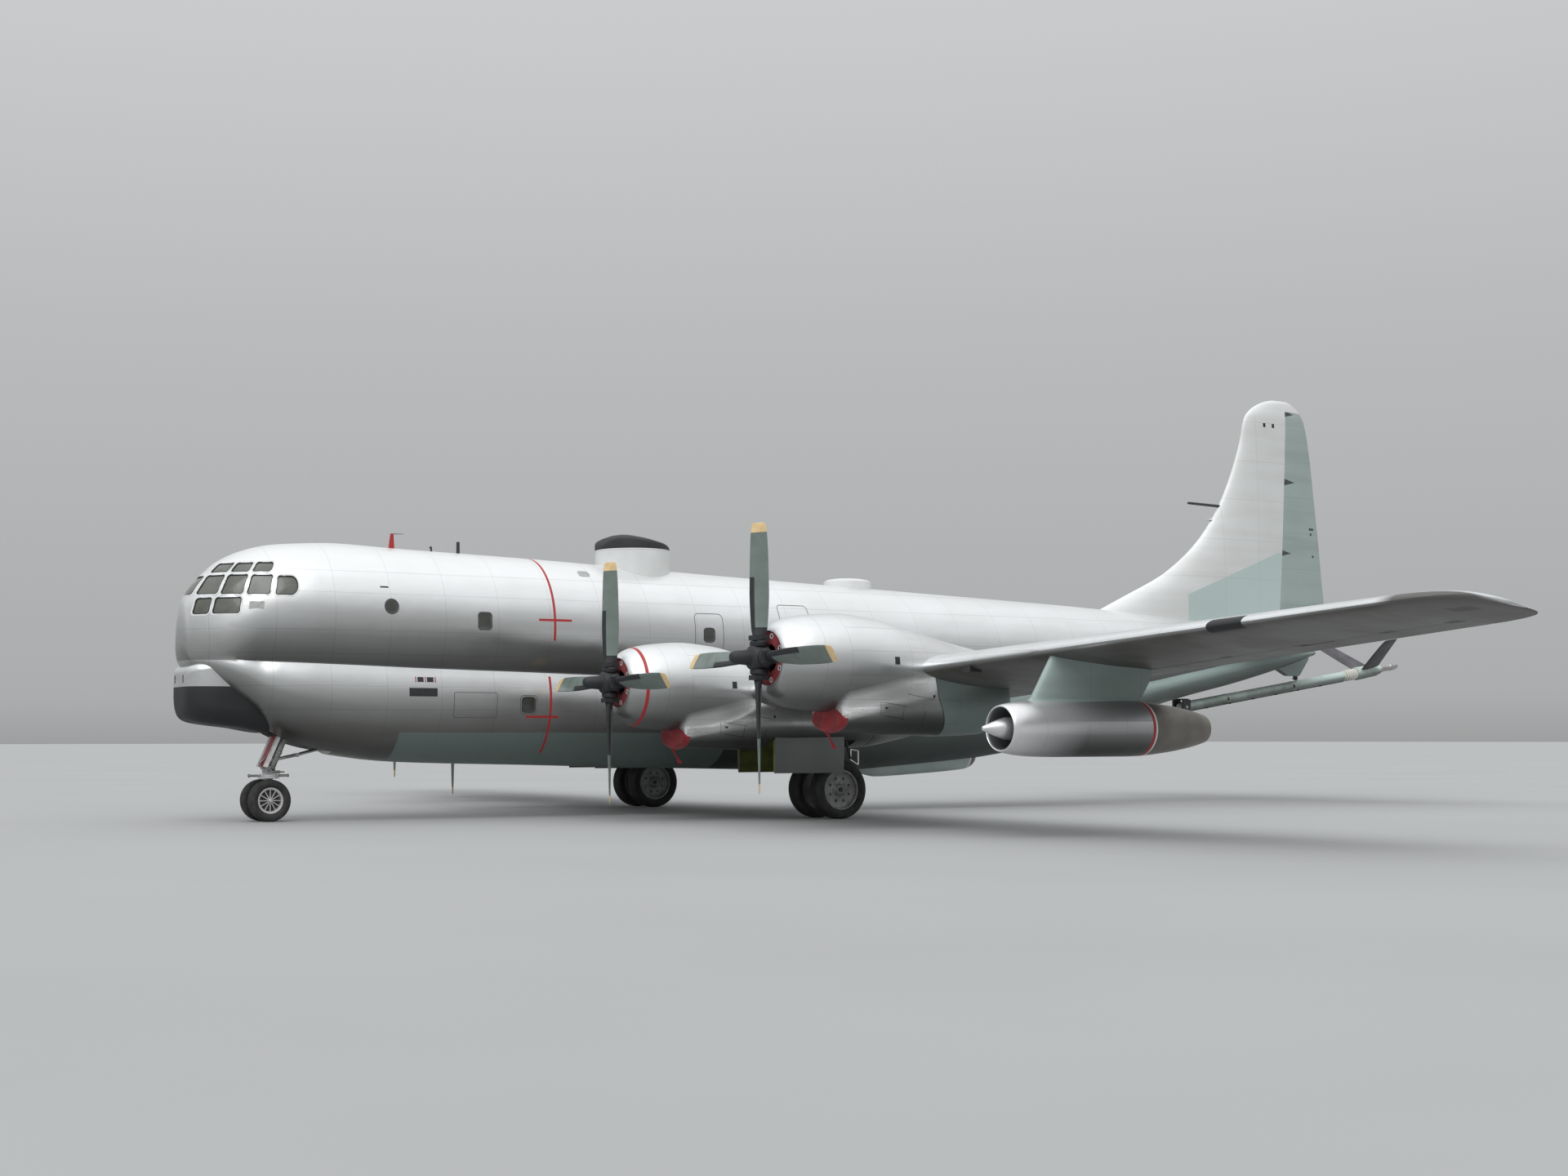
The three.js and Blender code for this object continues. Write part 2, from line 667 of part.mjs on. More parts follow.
function buildWing(side) {
  const sideName = side < 0 ? "left" : "right";
  const skin = wingSkin(side);
  const { bay, part } = aileronParts(side);
  const wing = cut(skin, fuselageSpace, bay, flapSpace(side, 0));
  const engines = ENGINES.filter((one) => one.side === side);
  for (const engine of engines) {
    const { y } = engine;
    const whole = nacelle(engine, withGap(skin));
    const ahead = box([0, TAIL_CONE_X - FLAP.gap], [y - 1500, y + 1500], [0, 6000]);
    const fixed = engine.inboard ? whole.intersect(ahead) : whole;
    aircraft.add(mesh(`nacelle_${engine.number}`, largest(fixed), SILVER));
  }
  const inboardEngine = engines.find((one) => one.inboard);
  const flap = join(skin.intersect(flapSpace(side, FLAP.gap)), nacelleTail(inboardEngine, wing));
  aircraft.add(mesh(`wing_${sideName}`, wing, SILVER));
  aircraft.add(mesh(`aileron_${sideName}`, largest(skin.intersect(part)), SILVER));
  aircraft.add(mesh(`flap_${sideName}`, largest(flap), SILVER));
  return skin;
}

const wingSkins = new Map([PORT, STARBOARD].map((side) => [side, buildWing(side)]));

// Engines: each one a plain block behind its propeller
const ENGINE = [
  // x behind the propeller, radius
  [470, 0],
  [470, 230],
  [640, 380],
  [760, 690],
  [2450, 690],
  [2450, 0],
];

// Propellers: hub, dome and four blades with their cuffs
const BLADE = [
  // distance out, chord, thickness, pitch in degrees from the plane of turning
  [150, 210, 190, 60],
  [430, 250, 190, 52],
  [520, 330, 120, 50],
  [1300, 400, 75, 38],
  [2200, 380, 40, 30],
  [2580, 300, 22, 28],
];
const HUB = [
  [-620, 0],
  [-610, 95],
  [-560, 140],
  [-200, 155],
  [-170, 235],
  [150, 235],
  [170, 130],
  [455, 130],
  [455, 0],
];

const BLADE_STEPS = 3;

function blade(turn) {
  const rings = BLADE.map(([out, chord, thick, pitch]) => {
    const angle = THREE.MathUtils.degToRad(pitch);
    const [alongX, alongY] = [Math.sin(angle) * chord, -Math.cos(angle) * chord];
    const lead = [-0.45 * alongX, -0.45 * alongY, out];
    const trail = [0.55 * alongX, 0.55 * alongY, out];
    return foil(lead, trail, thick, [Math.cos(angle), Math.sin(angle), 0], BLADE_STEPS);
  });
  return loft(rings).rotate([turn, 0, 0]);
}

function propeller() {
  return join(turned(HUB, 12), ...[0, 90, 180, 270].map(blade));
}

for (const engine of ENGINES) {
  const group = new THREE.Group();
  group.position.set(engine.x, engine.y, engine.z);
  group.add(mesh(`engine_${engine.number}`, turned(ENGINE, 14), DARK_METAL));
  group.add(mesh(`propeller_${engine.number}`, propeller(), BLADE_GREY));
  aircraft.add(group);
}

// Jet pods under the outer wings, each on a raked pylon
const POD_OUT = 13700;
const POD_HEIGHT = 1960;
const JET_POD = [
  // x, radius: bullet, intake duct, lip, body, tail pipe
  [10738, 0],
  [10770, 48],
  [11000, 125],
  [11240, 200],
  [11700, 215],
  [11700, 385],
  [11200, 372],
  [11125, 390],
  [11140, 416],
  [11446, 472],
  [11800, 500],
  [12300, 512],
  [14100, 510],
  [14500, 488],
  [15200, 410],
  [15870, 268],
  [15870, 240],
  [15400, 290],
  [15400, 0],
];
const PYLON = [
  // height, x of the front and of the back, thickness
  [2300, 11690, 14310, 280],
  [2470, 11800, 14390, 280],
  [3000, 12125, 14675, 280],
  [3420, 12385, 14700, 280],
];

for (const side of [PORT, STARBOARD]) {
  const sideName = side < 0 ? "left" : "right";
  const y = side * POD_OUT;
  const pod = turned(JET_POD, 18).translate(0, y, POD_HEIGHT);
  const fin = loft(PYLON.map(([z, front, back, thick]) => foil([front, y, z], [back, y, z], thick, [0, 1, 0])));
  const room = [...withGap(wingSkins.get(side)), pod, pod.translate(0, 0, TOUCH)];
  aircraft.add(mesh(`jet_pod_${sideName}`, pod, SILVER));
  aircraft.add(mesh(`jet_pylon_${sideName}`, largest(cut(fin, ...room)), SAGE));
}

// Fin and rudder
const FIN = [
  // height, x of the leading and of the trailing edge, thickness
  [4600, 23900, 34090, 480],
  [5640, 26210, 34015, 480],
  [6420, 27870, 33930, 440],
  [7490, 29220, 33830, 400],
  [8730, 30110, 33690, 350],
  [10270, 30770, 33500, 290],
  [11030, 30980, 33330, 240],
  [11400, 31400, 33020, 150],
  [11610, 32000, 32700, 50],
];
const RUDDER = [
  // x, y and height of the hinge line's points, and half the fin's thickness there
  [32150, 0, 4830, 124],
  [32331, 0, 7490, 138],
  [32415, 0, 8730, 130],
  [32520, 0, 10270, 112],
  [32571, 0, 11030, 90],
  [32590, 0, 11300, 76],
];
const BELOW_RUDDER = [32087, 0, 3900, 124]; // the hinge line carried on into the tail

function finAndRudder() {
  const skin = loft(FIN.map(([z, lead, trail, thick]) => foil([lead, 0, z], [trail, 0, z], thick, [0, 1, 0])));
  const { part } = hingedPart(RUDDER, true);
  const { bay } = hingedPart([BELOW_RUDDER, ...RUDDER], true);
  return { fin: cut(skin, fuselageSpace, bay), rudder: largest(skin.intersect(part)) };
}

const { fin, rudder } = finAndRudder();
aircraft.add(mesh("fin", largest(fin), WHITE));
aircraft.add(mesh("rudder", rudder, SAGE));

// Tailplane and elevators
const TAILPLANE = [
  // distance out, x of the leading and of the trailing edge, height, thickness
  [150, 29500, 33050, 4600, 380],
  [5900, 30950, 32830, 4950, 190],
  [6380, 31150, 32760, 4975, 130],
  [6550, 31550, 32600, 4985, 50],
];
const ELEVATOR = [
  // distance out and x of the hinge line's points, height, and half the tailplane's thickness there
  [950, 32000, 4648.7, 115],
  [5900, 32238, 4950, 67],
  [6150, 32250, 4965.2, 60],
];

function tailplaneParts(side) {
  const skin = loft(
    TAILPLANE.map(([out, lead, trail, z, thick]) =>
      foil([lead, side * out, z], [trail, side * out, z], thick, [0, 0, 1]),
    ),
  );
  const { bay, part } = hingedPart(ELEVATOR.map(([out, x, z, half]) => [x, side * out, z, half]));
  return { plane: cut(skin, fuselageSpace, bay), elevator: largest(skin.intersect(part)) };
}

for (const side of [PORT, STARBOARD]) {
  const sideName = side < 0 ? "left" : "right";
  const { plane, elevator } = tailplaneParts(side);
  aircraft.add(mesh(`tailplane_${sideName}`, largest(plane), SILVER));
  aircraft.add(mesh(`elevator_${sideName}`, elevator, SILVER));
}

// Refuelling boom, stowed under the tail: yoke, tube with two small wings, and sliding nozzle tube
const boomTilt = Math.atan2(3950 - BOOM.pivotZ, LENGTH - BOOM.pivotX);
const boomReach = (LENGTH - BOOM.pivotX) / Math.cos(boomTilt);
const NOZZLE_TIP = 55;
const SIDE_FIN_TILT = THREE.MathUtils.degToRad(35);
const SIDE_FIN = [
  // distance out along the fin, distance along the tube of its leading and trailing edges, thickness
  [215, 7010, 7700, 70],
  [1640, 6780, 7320, 40],
];

function boomYoke() {
  const { pivotX: x, pivotZ: z } = BOOM;
  const drum = bar([x, 0, YOKE.bottom], [x, 0, YOKE.top], YOKE.radius, YOKE.radius, 20);
  const ears = [PORT, STARBOARD].map((side) => {
    const span = side < 0 ? [-YOKE.ear[1], -YOKE.ear[0]] : YOKE.ear;
    const cheek = box([x - 130, x + 130], span, [z - 130, YOKE.bottom + 10]);
    return cut(cheek, bar([x, span[0] - 20, z], [x, span[1] + 20, z], YOKE.pin + 6, YOKE.pin + 6));
  });
  return join(drum, ...ears);
}

// The boom's pieces are made lying along +X from the pivot.
function boomTube() {
  const outside = bar([0, 0, 0], [BOOM.tubeEnd, 0, 0], BOOM.radius - 14, BOOM.radius - 14, 16);
  const bore = bar([1500, 0, 0], [BOOM.tubeEnd + 50, 0, 0], BOOM.innerRadius + 12, BOOM.innerRadius + 12, 16);
  const root = solid(new THREE.SphereGeometry(BOOM.radius - 12, 16, 8));
  const pin = bar([0, -YOKE.ear[1], 0], [0, YOKE.ear[1], 0], YOKE.pin);
  const collar = bar([6900, 0, 0], [7750, 0, 0], BOOM.radius + 40, BOOM.radius + 20, 16);
  return join(cut(join(outside, root, collar), bore), pin);
}

function boomExtension() {
  const end = boomReach - NOZZLE_TIP * Math.tan(boomTilt); // the tilted end's upper edge is the model's last point
  const tube = bar([1700, 0, 0], [end - 260, 0, 0], BOOM.innerRadius, BOOM.innerRadius, 14);
  const nozzle = bar([end - 300, 0, 0], [end, 0, 0], BOOM.nozzle, NOZZLE_TIP, 14);
  return join(tube, nozzle);
}

function sideFin(side) {
  const [outward, upward] = [side * Math.cos(SIDE_FIN_TILT), Math.sin(SIDE_FIN_TILT)];
  return loft(
    SIDE_FIN.map(([out, lead, trail, thick]) => {
      const [y, z] = [out * outward, out * upward];
      return foil([lead, y, z], [trail, y, z], thick, [0, -upward, outward]);
    }),
  );
}

const boom = new THREE.Group();
boom.position.set(BOOM.pivotX, 0, BOOM.pivotZ);
boom.rotation.y = -boomTilt;
boom.add(mesh("boom_tube", boomTube(), SAGE));
boom.add(mesh("boom_extension", boomExtension(), STEEL));
boom.add(mesh("ruddervator_left", sideFin(PORT), BLACK));
boom.add(mesh("ruddervator_right", sideFin(STARBOARD), DARK_METAL));
aircraft.add(boom);
aircraft.add(mesh("boom_yoke", boomYoke(), DARK_METAL));

// Wheels and tyres, turned about Y; each pair shares one axle
const TYRE_SEGMENTS = 28;
const WHEEL_SEGMENTS = 16;

// A tyre's cross-section from its bead round the tread, and the rim that it sits on.
function wheelPair({ radius, width, rim, spread, axle, hub }) {
  const half = width / 2;
  const bead = (rim + TOUCH) / Math.cos(Math.PI / TYRE_SEGMENTS); // clears the rim at the middle of a facet too
  const tyre = [
    [-half * 0.74, bead],
    [-half, rim + (radius - rim) * 0.5],
    [-half * 0.86, radius * 0.96],
    [-half * 0.5, radius],
    [half * 0.5, radius],
    [half * 0.86, radius * 0.96],
    [half, rim + (radius - rim) * 0.5],
    [half * 0.74, bead],
    [-half * 0.74, bead],
  ];
  const wheel = [
    [-half * 0.7, axle * 0.5],
    [-half * 0.7, rim],
    [half * 0.7, rim],
    [half * 0.7, rim - 45],
    [half * 0.2, rim - 60],
    [half * 0.15, hub],
    [half * 0.6, hub],
    [half * 0.6, axle * 0.5],
    [-half * 0.7, axle * 0.5],
  ];
  const acrossY = (body) => body.rotate([0, 0, 90]);
  const tyres = [PORT, STARBOARD].map((side) => acrossY(turned(tyre, TYRE_SEGMENTS)).translate(0, side * spread, 0));
  const rims = [PORT, STARBOARD].map((side) => {
    const facing = side < 0 ? turned(wheel, WHEEL_SEGMENTS).rotate([0, 0, 180]) : turned(wheel, WHEEL_SEGMENTS);
    return acrossY(facing).translate(0, side * spread, 0);
  });
  const shaft = bar([0, -spread - half * 0.5, 0], [0, spread + half * 0.5, 0], axle, axle, 14);
  return { tyres, wheels: join(...rims, shaft) };
}

const NOSE_GEAR = { x: 1950, z: 457, swivelX: 2020, collar: 1060 };
const NOSE_WHEELS = { radius: 457, width: 280, rim: 285, spread: 300, axle: 42, hub: 90 };
const MAIN_GEAR = { x: 13660, y: 4345, z: 650 };
const MAIN_WHEELS = { radius: 650, width: 400, rim: 450, spread: 445, axle: 75, hub: 130 };

function noseStrut() {
  const { swivelX: x, collar } = NOSE_GEAR;
  const top = NOSE_WELL.z[1] - TOUCH;
  const leg = bar([x + 10, 0, collar + 20], [2580, 0, top + 60], 95, 105, 14);
  const swivel = bar([x, 0, collar - 20], [x, 0, collar + 150], 120, 110, 14);
  const brace = bar([x + 80, 0, collar + 120], [3180, 0, top + 40], 48, 48, 10);
  return join(leg, swivel, brace).intersect(box([0, 4000], [-500, 500], [0, top]));
}

function noseFork() {
  const { x, z, swivelX, collar } = NOSE_GEAR;
  const ring = bar([swivelX, 0, collar - 100], [swivelX, 0, collar - 34], 240, 240, 20);
  const post = bar([swivelX, 0, z + 180], [swivelX, 0, collar - 60], 90, 100, 14);
  const knee = bar([swivelX, 0, z + 220], [x, 0, z], 80, 80, 14);
  const eye = bar([x, -95, z], [x, 95, z], 85, 85, 16);
  const bore = bar([x, -120, z], [x, 120, z], NOSE_WHEELS.axle + 6, NOSE_WHEELS.axle + 6, 14);
  const towBar = box([1560, 2480], [-60, 60], [collar - 95, collar - 45]);
  return cut(join(ring, post, knee, eye, towBar), bore);
}

function noseBoard() {
  const outline = [
    [1830, 1190],
    [1880, 1180],
    [2170, 1830],
    [2120, 1850],
  ];
  return sidePlate(outline, [-330, 330]);
}

function addWheels(name, place, sizes) {
  const { tyres, wheels } = wheelPair(sizes);
  const group = new THREE.Group();
  group.position.set(...place);
  group.add(mesh(`${name}_wheels`, wheels, STEEL));
  group.add(mesh(`${name}_tyre_left`, tyres[0], RUBBER));
  group.add(mesh(`${name}_tyre_right`, tyres[1], RUBBER));
  aircraft.add(group);
}

aircraft.add(mesh("nose_strut", noseStrut(), STEEL));
aircraft.add(mesh("nose_fork", noseFork(), STEEL));
aircraft.add(mesh("nose_board", cut(noseBoard(), noseStrut()), RED_WHITE));
addWheels("nose", [NOSE_GEAR.x, 0, NOSE_GEAR.z], NOSE_WHEELS);

function mainStrut(y) {
  const { x, z } = MAIN_GEAR;
  const top = WHEEL_WELL.top - TOUCH;
  const leg = bar([x, y, z + 100], [x - 60, y, top + 60], 120, 135, 14);
  const eye = bar([x, y - 150, z], [x, y + 150, z], 150, 150, 16);
  const neck = bar([x, y, z + 40], [x, y, z + 200], 120, 120, 14);
  const bore = bar([x, y - 200, z], [x, y + 200, z], MAIN_WHEELS.axle + 6, MAIN_WHEELS.axle + 6, 14);
  const brace = bar([x - 30, y, z + 420], [12250, y, top - 40], 62, 62, 12);
  const foot = box([12150, 12350], [y - 90, y + 90], [top - 90, top]);
  const room = box([10000, 16000], [y - 1000, y + 1000], [0, top]);
  return cut(join(leg, neck, eye, brace, foot).intersect(room), bore);
}

// Main gear doors hang open from the edges of the wheel well
const GEAR_DOOR = { x: [11800, 13700], z: [1030, 1900], out: 760, thick: 50 };

function gearDoor(y, outward) {
  const near = y + outward * GEAR_DOOR.out;
  const far = near + outward * GEAR_DOOR.thick;
  const { x, z } = ENGINES.find((one) => one.inboard);
  const body = ovals(INBOARD_DUCT, y, x, z);
  const panel = box(GEAR_DOOR.x, [Math.min(near, far), Math.max(near, far)], GEAR_DOOR.z);
  return cut(panel, body, body.translate(0, 0, -TOUCH));
}

for (const side of [PORT, STARBOARD]) {
  const sideName = side < 0 ? "left" : "right";
  const y = side * MAIN_GEAR.y;
  aircraft.add(mesh(`main_strut_${sideName}`, mainStrut(y), STEEL));
  addWheels(`main_${sideName}`, [MAIN_GEAR.x, y, MAIN_GEAR.z], MAIN_WHEELS);
  aircraft.add(mesh(`gear_door_outer_${sideName}`, gearDoor(y, side), GREEN_PRIMER));
  aircraft.add(mesh(`gear_door_inner_${sideName}`, gearDoor(y, -side), GREEN_PRIMER));
}

// The model's own origin is under its middle, on the ground.
const model = new THREE.Group();
aircraft.position.set((-LENGTH / 2) * SCALE, 0, 0);
aircraft.scale.setScalar(SCALE);
model.add(aircraft);

export default model;
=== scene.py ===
# %% [markdown]
# A parked four-engined tanker transport. The real aircraft is a tall double-bubble tube with straight
# wings, four piston engines, two jet pods and a refuelling boom folded up under its tail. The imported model
# that is loaded here has every solid and every joint, with flat facets. This script puts smooth skins,
# glass, paint, cloth and fittings around it. Every size below is the full-size aircraft's, in millimetres:
# aft of the nose, out to starboard, and up from the ground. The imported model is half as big, so one
# function turns those sizes into the model's metres.

import math

import bmesh
import bpy
import numpy as np
from mathutils import Matrix, Vector
from mathutils.bvhtree import BVHTree


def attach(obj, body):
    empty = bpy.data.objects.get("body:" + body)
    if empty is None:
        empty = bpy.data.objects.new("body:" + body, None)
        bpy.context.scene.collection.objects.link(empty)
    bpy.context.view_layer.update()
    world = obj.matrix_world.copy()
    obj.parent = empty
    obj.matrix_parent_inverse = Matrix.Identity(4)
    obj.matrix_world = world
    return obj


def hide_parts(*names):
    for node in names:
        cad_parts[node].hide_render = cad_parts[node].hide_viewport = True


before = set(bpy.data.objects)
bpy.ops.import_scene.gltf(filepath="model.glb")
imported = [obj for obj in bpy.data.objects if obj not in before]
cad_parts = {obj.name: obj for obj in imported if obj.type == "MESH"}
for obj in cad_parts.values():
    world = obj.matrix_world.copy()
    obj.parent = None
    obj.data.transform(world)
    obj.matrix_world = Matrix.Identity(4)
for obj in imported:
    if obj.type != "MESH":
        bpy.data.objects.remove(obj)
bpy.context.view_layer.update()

LENGTH = 36980
MM_PER_METRE = 2000
SIDES = {"left": -1, "right": 1}


def model_space(points):
    return (np.asarray(points, float) - [LENGTH / 2, 0, 0]) / MM_PER_METRE


# %% [markdown]
# The camera stands where the photographer stood, to port of the nose and at eye height. It looks a little
# aft and a little up. The photograph was framed off its middle, which a small lens shift repeats without
# bending any upright line. Nothing on the aircraft hangs free, so there are no cords to settle with it.

# %% Camera
EYE = (-10743, -41233, 1777)
YAW, PITCH, ROLL = (math.radians(angle) for angle in (27.079, 3.073, -0.063))
camera_data = bpy.data.cameras.new("camera")
camera_data.sensor_width = 36
camera_data.lens = 44.63
camera_data.shift_x = 0.1124
camera_data.shift_y = 0.0299
camera_data.clip_end = 1000
ahead = Vector((math.sin(YAW) * math.cos(PITCH), math.cos(YAW) * math.cos(PITCH), math.sin(PITCH)))
level = Vector((math.cos(YAW), -math.sin(YAW), 0))
across = level * math.cos(ROLL) + level.cross(ahead) * math.sin(ROLL)
turn = Matrix((across, across.cross(ahead), -ahead)).transposed()
camera = bpy.data.objects.new("camera", camera_data)
bpy.context.scene.collection.objects.link(camera)
camera.matrix_world = Matrix.Translation(model_space(EYE)) @ turn.to_4x4()
bpy.context.scene.camera = camera

# %% [markdown]
# Aluminium paint shows its shape only by what it mirrors. The real one stands under an even grey sky on
# dark ground, so the crown shines and the flanks darken towards each crease. A world that is bright
# overhead and darker near the horizon does the same. One broad lamp high on the port side gives the soft
# shadow under the belly. The picture keeps the plain tone curve, which is as hard as the photograph's.

# %% Sky, lamp and floor
SKY = [(0.0, 0.12), (0.47, 0.16), (0.51, 0.42), (0.60, 0.50), (0.72, 0.66), (1.0, 1.35)]
bpy.context.scene.view_settings.view_transform = "Standard"


def link(new_object):
    bpy.context.scene.collection.objects.link(new_object)
    return new_object


world = bpy.data.worlds.new("studio")
bpy.context.scene.world = world
world.use_nodes = True
sky_nodes = world.node_tree.nodes
height = sky_nodes.new("ShaderNodeSeparateXYZ")
ramp = sky_nodes.new("ShaderNodeValToRGB")
rise = sky_nodes.new("ShaderNodeMapRange")
rise.inputs["From Min"].default_value = -1
coordinates = sky_nodes.new("ShaderNodeTexCoord")
while len(ramp.color_ramp.elements) < len(SKY):
    ramp.color_ramp.elements.new(0.5)
for element, (place, value) in zip(ramp.color_ramp.elements, SKY):
    element.position = place
    element.color = (value * 0.97, value * 0.99, value, 1)
world.node_tree.links.new(coordinates.outputs["Generated"], height.inputs[0])
world.node_tree.links.new(height.outputs["Z"], rise.inputs["Value"])
world.node_tree.links.new(rise.outputs[0], ramp.inputs[0])
world.node_tree.links.new(ramp.outputs[0], sky_nodes["Background"].inputs["Color"])

lamp_data = bpy.data.lights.new("soft_lamp", "SUN")
lamp_data.energy = 1.2
lamp_data.angle = math.radians(50)
lamp = link(bpy.data.objects.new("soft_lamp", lamp_data))
lamp.rotation_euler = (math.radians(32), math.radians(-28), 0)

FLOOR_REACH = 400
floor_mesh = bpy.data.meshes.new("floor")
floor_corners = [(x, y, 0) for x, y in ((-1, -1), (1, -1), (1, 1), (-1, 1))]
floor_mesh.from_pydata([Vector(corner) * FLOOR_REACH for corner in floor_corners], [], [(0, 1, 2, 3)])
floor = link(bpy.data.objects.new("floor", floor_mesh))

# %% [markdown]
# Every finish below is one small tree of nodes around the standard shader. The helper keeps that short: it
# adds a node, feeds its sockets and hands back what comes out. It also works out where a point lies on the
# full-size aircraft, in metres, so a stripe or a panel line is painted at a place and not on a flat map.

# %% Finishes: the helper
class Finish:
    """A material under construction, with the point's place on the full-size aircraft in metres."""

    def __init__(self, name, color, roughness, metallic=0.0, local=False):
        self.material = bpy.data.materials.new(name)
        self.material.use_nodes = True
        self.material.diffuse_color = (*color, 1)
        self.tree = self.material.node_tree
        self.shader = self.tree.nodes["Principled BSDF"]
        self.metallic = metallic
        self.color = (*color, 1)
        self.roughness = roughness
        self.height = 0.0
        texture = self.tree.nodes.new("ShaderNodeTexCoord")
        here = texture.outputs["Object"]
        facing = self.tree.nodes.new("ShaderNodeSeparateXYZ")
        self.feed(facing.inputs[0], texture.outputs["Normal"])
        self.facing_aft, self.facing_side, self.facing_up = facing.outputs
        full = self.tree.nodes.new("ShaderNodeVectorMath")
        full.operation = "MULTIPLY_ADD"
        self.feed(full.inputs[0], here)
        full.inputs[1].default_value = (MM_PER_METRE / 1000,) * 3
        full.inputs[2].default_value = (0 if local else LENGTH / MM_PER_METRE, 0, 0)
        self.place = full.outputs[0]
        split = self.tree.nodes.new("ShaderNodeSeparateXYZ")
        self.feed(split.inputs[0], self.place)
        self.x, self.y, self.z = split.outputs

    def feed(self, socket, value):
        if isinstance(value, bpy.types.NodeSocket):
            self.tree.links.new(value, socket)
        else:
            socket.default_value = value

    def math(self, operation, *values):
        node = self.tree.nodes.new("ShaderNodeMath")
        node.operation = operation
        for socket, value in zip(node.inputs, values):
            self.feed(socket, value)
        return node.outputs[0]

    def mix(self, share, first, second):
        node = self.tree.nodes.new("ShaderNodeMix")
        node.data_type = "RGBA"
        self.feed(node.inputs[0], share)
        self.feed(node.inputs[6], first)
        self.feed(node.inputs[7], second)
        return node.outputs[2]

    def noise(self, scale, detail=3.0, stretch=(1, 1, 1)):
        squeezed = self.tree.nodes.new("ShaderNodeVectorMath")
        squeezed.operation = "MULTIPLY"
        self.feed(squeezed.inputs[0], self.place)
        squeezed.inputs[1].default_value = stretch
        node = self.tree.nodes.new("ShaderNodeTexNoise")
        self.feed(node.inputs["Vector"], squeezed.outputs[0])
        node.inputs["Scale"].default_value = scale
        node.inputs["Detail"].default_value = detail
        return node.outputs[0]

    def spread(self, value, low, high):
        """A value's range from low to high, spread out to run from 0 to 1."""
        node = self.tree.nodes.new("ShaderNodeMapRange")
        self.feed(node.inputs["Value"], value)
        node.inputs["From Min"].default_value = low
        node.inputs["From Max"].default_value = high
        return node.outputs[0]

    def within(self, value, low, high):
        """1 where the value lies between low and high, else 0."""
        middle, half = (low + high) / 2, (high - low) / 2
        return self.math("LESS_THAN", self.math("ABSOLUTE", self.math("SUBTRACT", value, middle)), half)

    def both(self, *masks):
        share = masks[0]
        for mask in masks[1:]:
            share = self.math("MULTIPLY", share, mask)
        return share

    def either(self, *masks):
        share = masks[0]
        for mask in masks[1:]:
            share = self.math("MAXIMUM", share, mask)
        return share

    def lines(self, value, spacing, width, start=0.0):
        """1 on a thin line at every multiple of spacing."""
        step = self.math(
            "FRACT", self.math("DIVIDE", self.math("SUBTRACT", value, start - spacing / 2), spacing)
        )
        off_middle = self.math("ABSOLUTE", self.math("SUBTRACT", step, 0.5))
        return self.math("LESS_THAN", off_middle, width / spacing / 2)

    def paint(self, share, color, metallic=None, roughness=None):
        """Covers part of the surface with another colour, and its own metal and gloss if they are given."""
        self.color = self.mix(share, self.color, (*color, 1))
        for name, value in (("metallic", metallic), ("roughness", roughness)):
            if value is not None:
                before = getattr(self, name)
                change = self.math("MULTIPLY", share, self.math("SUBTRACT", value, before))
                setattr(self, name, self.math("ADD", before, change))

    def tint(self, share, color):
        """Darkens or colours part of the surface by multiplying: dirt and stains, and in places painted
        shade.
        """
        node = self.tree.nodes.new("ShaderNodeMix")
        node.data_type = "RGBA"
        node.blend_type = "MULTIPLY"
        self.feed(node.inputs[0], share)
        self.feed(node.inputs[6], self.color)
        self.feed(node.inputs[7], (*color, 1))
        self.color = node.outputs[2]

    def emboss(self, value, depth):
        """Adds relief, in millimetres on the full-size aircraft."""
        self.height = self.math("ADD", self.height, self.math("MULTIPLY", value, depth))

    def done(self):
        self.feed(self.shader.inputs["Base Color"], self.color)
        self.feed(self.shader.inputs["Roughness"], self.roughness)
        self.feed(self.shader.inputs["Metallic"], self.metallic)
        if isinstance(self.height, bpy.types.NodeSocket):
            bump = self.tree.nodes.new("ShaderNodeBump")
            bump.inputs["Distance"].default_value = 1 / MM_PER_METRE
            self.feed(bump.inputs["Height"], self.height)
            self.feed(self.shader.inputs["Normal"], bump.outputs[0])
        return self.material


# %% [markdown]
# The floor is plain and pale, like a studio's. A trace of cloudiness keeps it from looking like a flat card.

# %% Floor finish
floor_finish = Finish("studio_floor", (0.40, 0.405, 0.41), 0.85)
floor_finish.tint(floor_finish.spread(floor_finish.noise(0.12), 0.3, 0.7), (0.95, 0.95, 0.95))
floor_mesh.materials.append(floor_finish.done())

# %% [markdown]
# Aluminium paint is a clear binder full of flat flakes. It is duller than bare metal, mirrors the sky as a
# soft sheen, and over the years takes grime in streaks, fades to chalk on top and gets touched up in
# patches. The thin sheet under it dents between its ribs, so its reflections wander. The seams are close
# rows of rivets with a dark gap. Noise at three scales makes the first three, and the seams are narrow
# lines at fixed places.

# %% Finishes: aluminium paint
SILVER = (0.80, 0.81, 0.82)
SAGE = (0.36, 0.45, 0.43)
RED = (0.42, 0.03, 0.035)
WHITE = (0.78, 0.79, 0.79)
BLACK = (0.018, 0.019, 0.021)


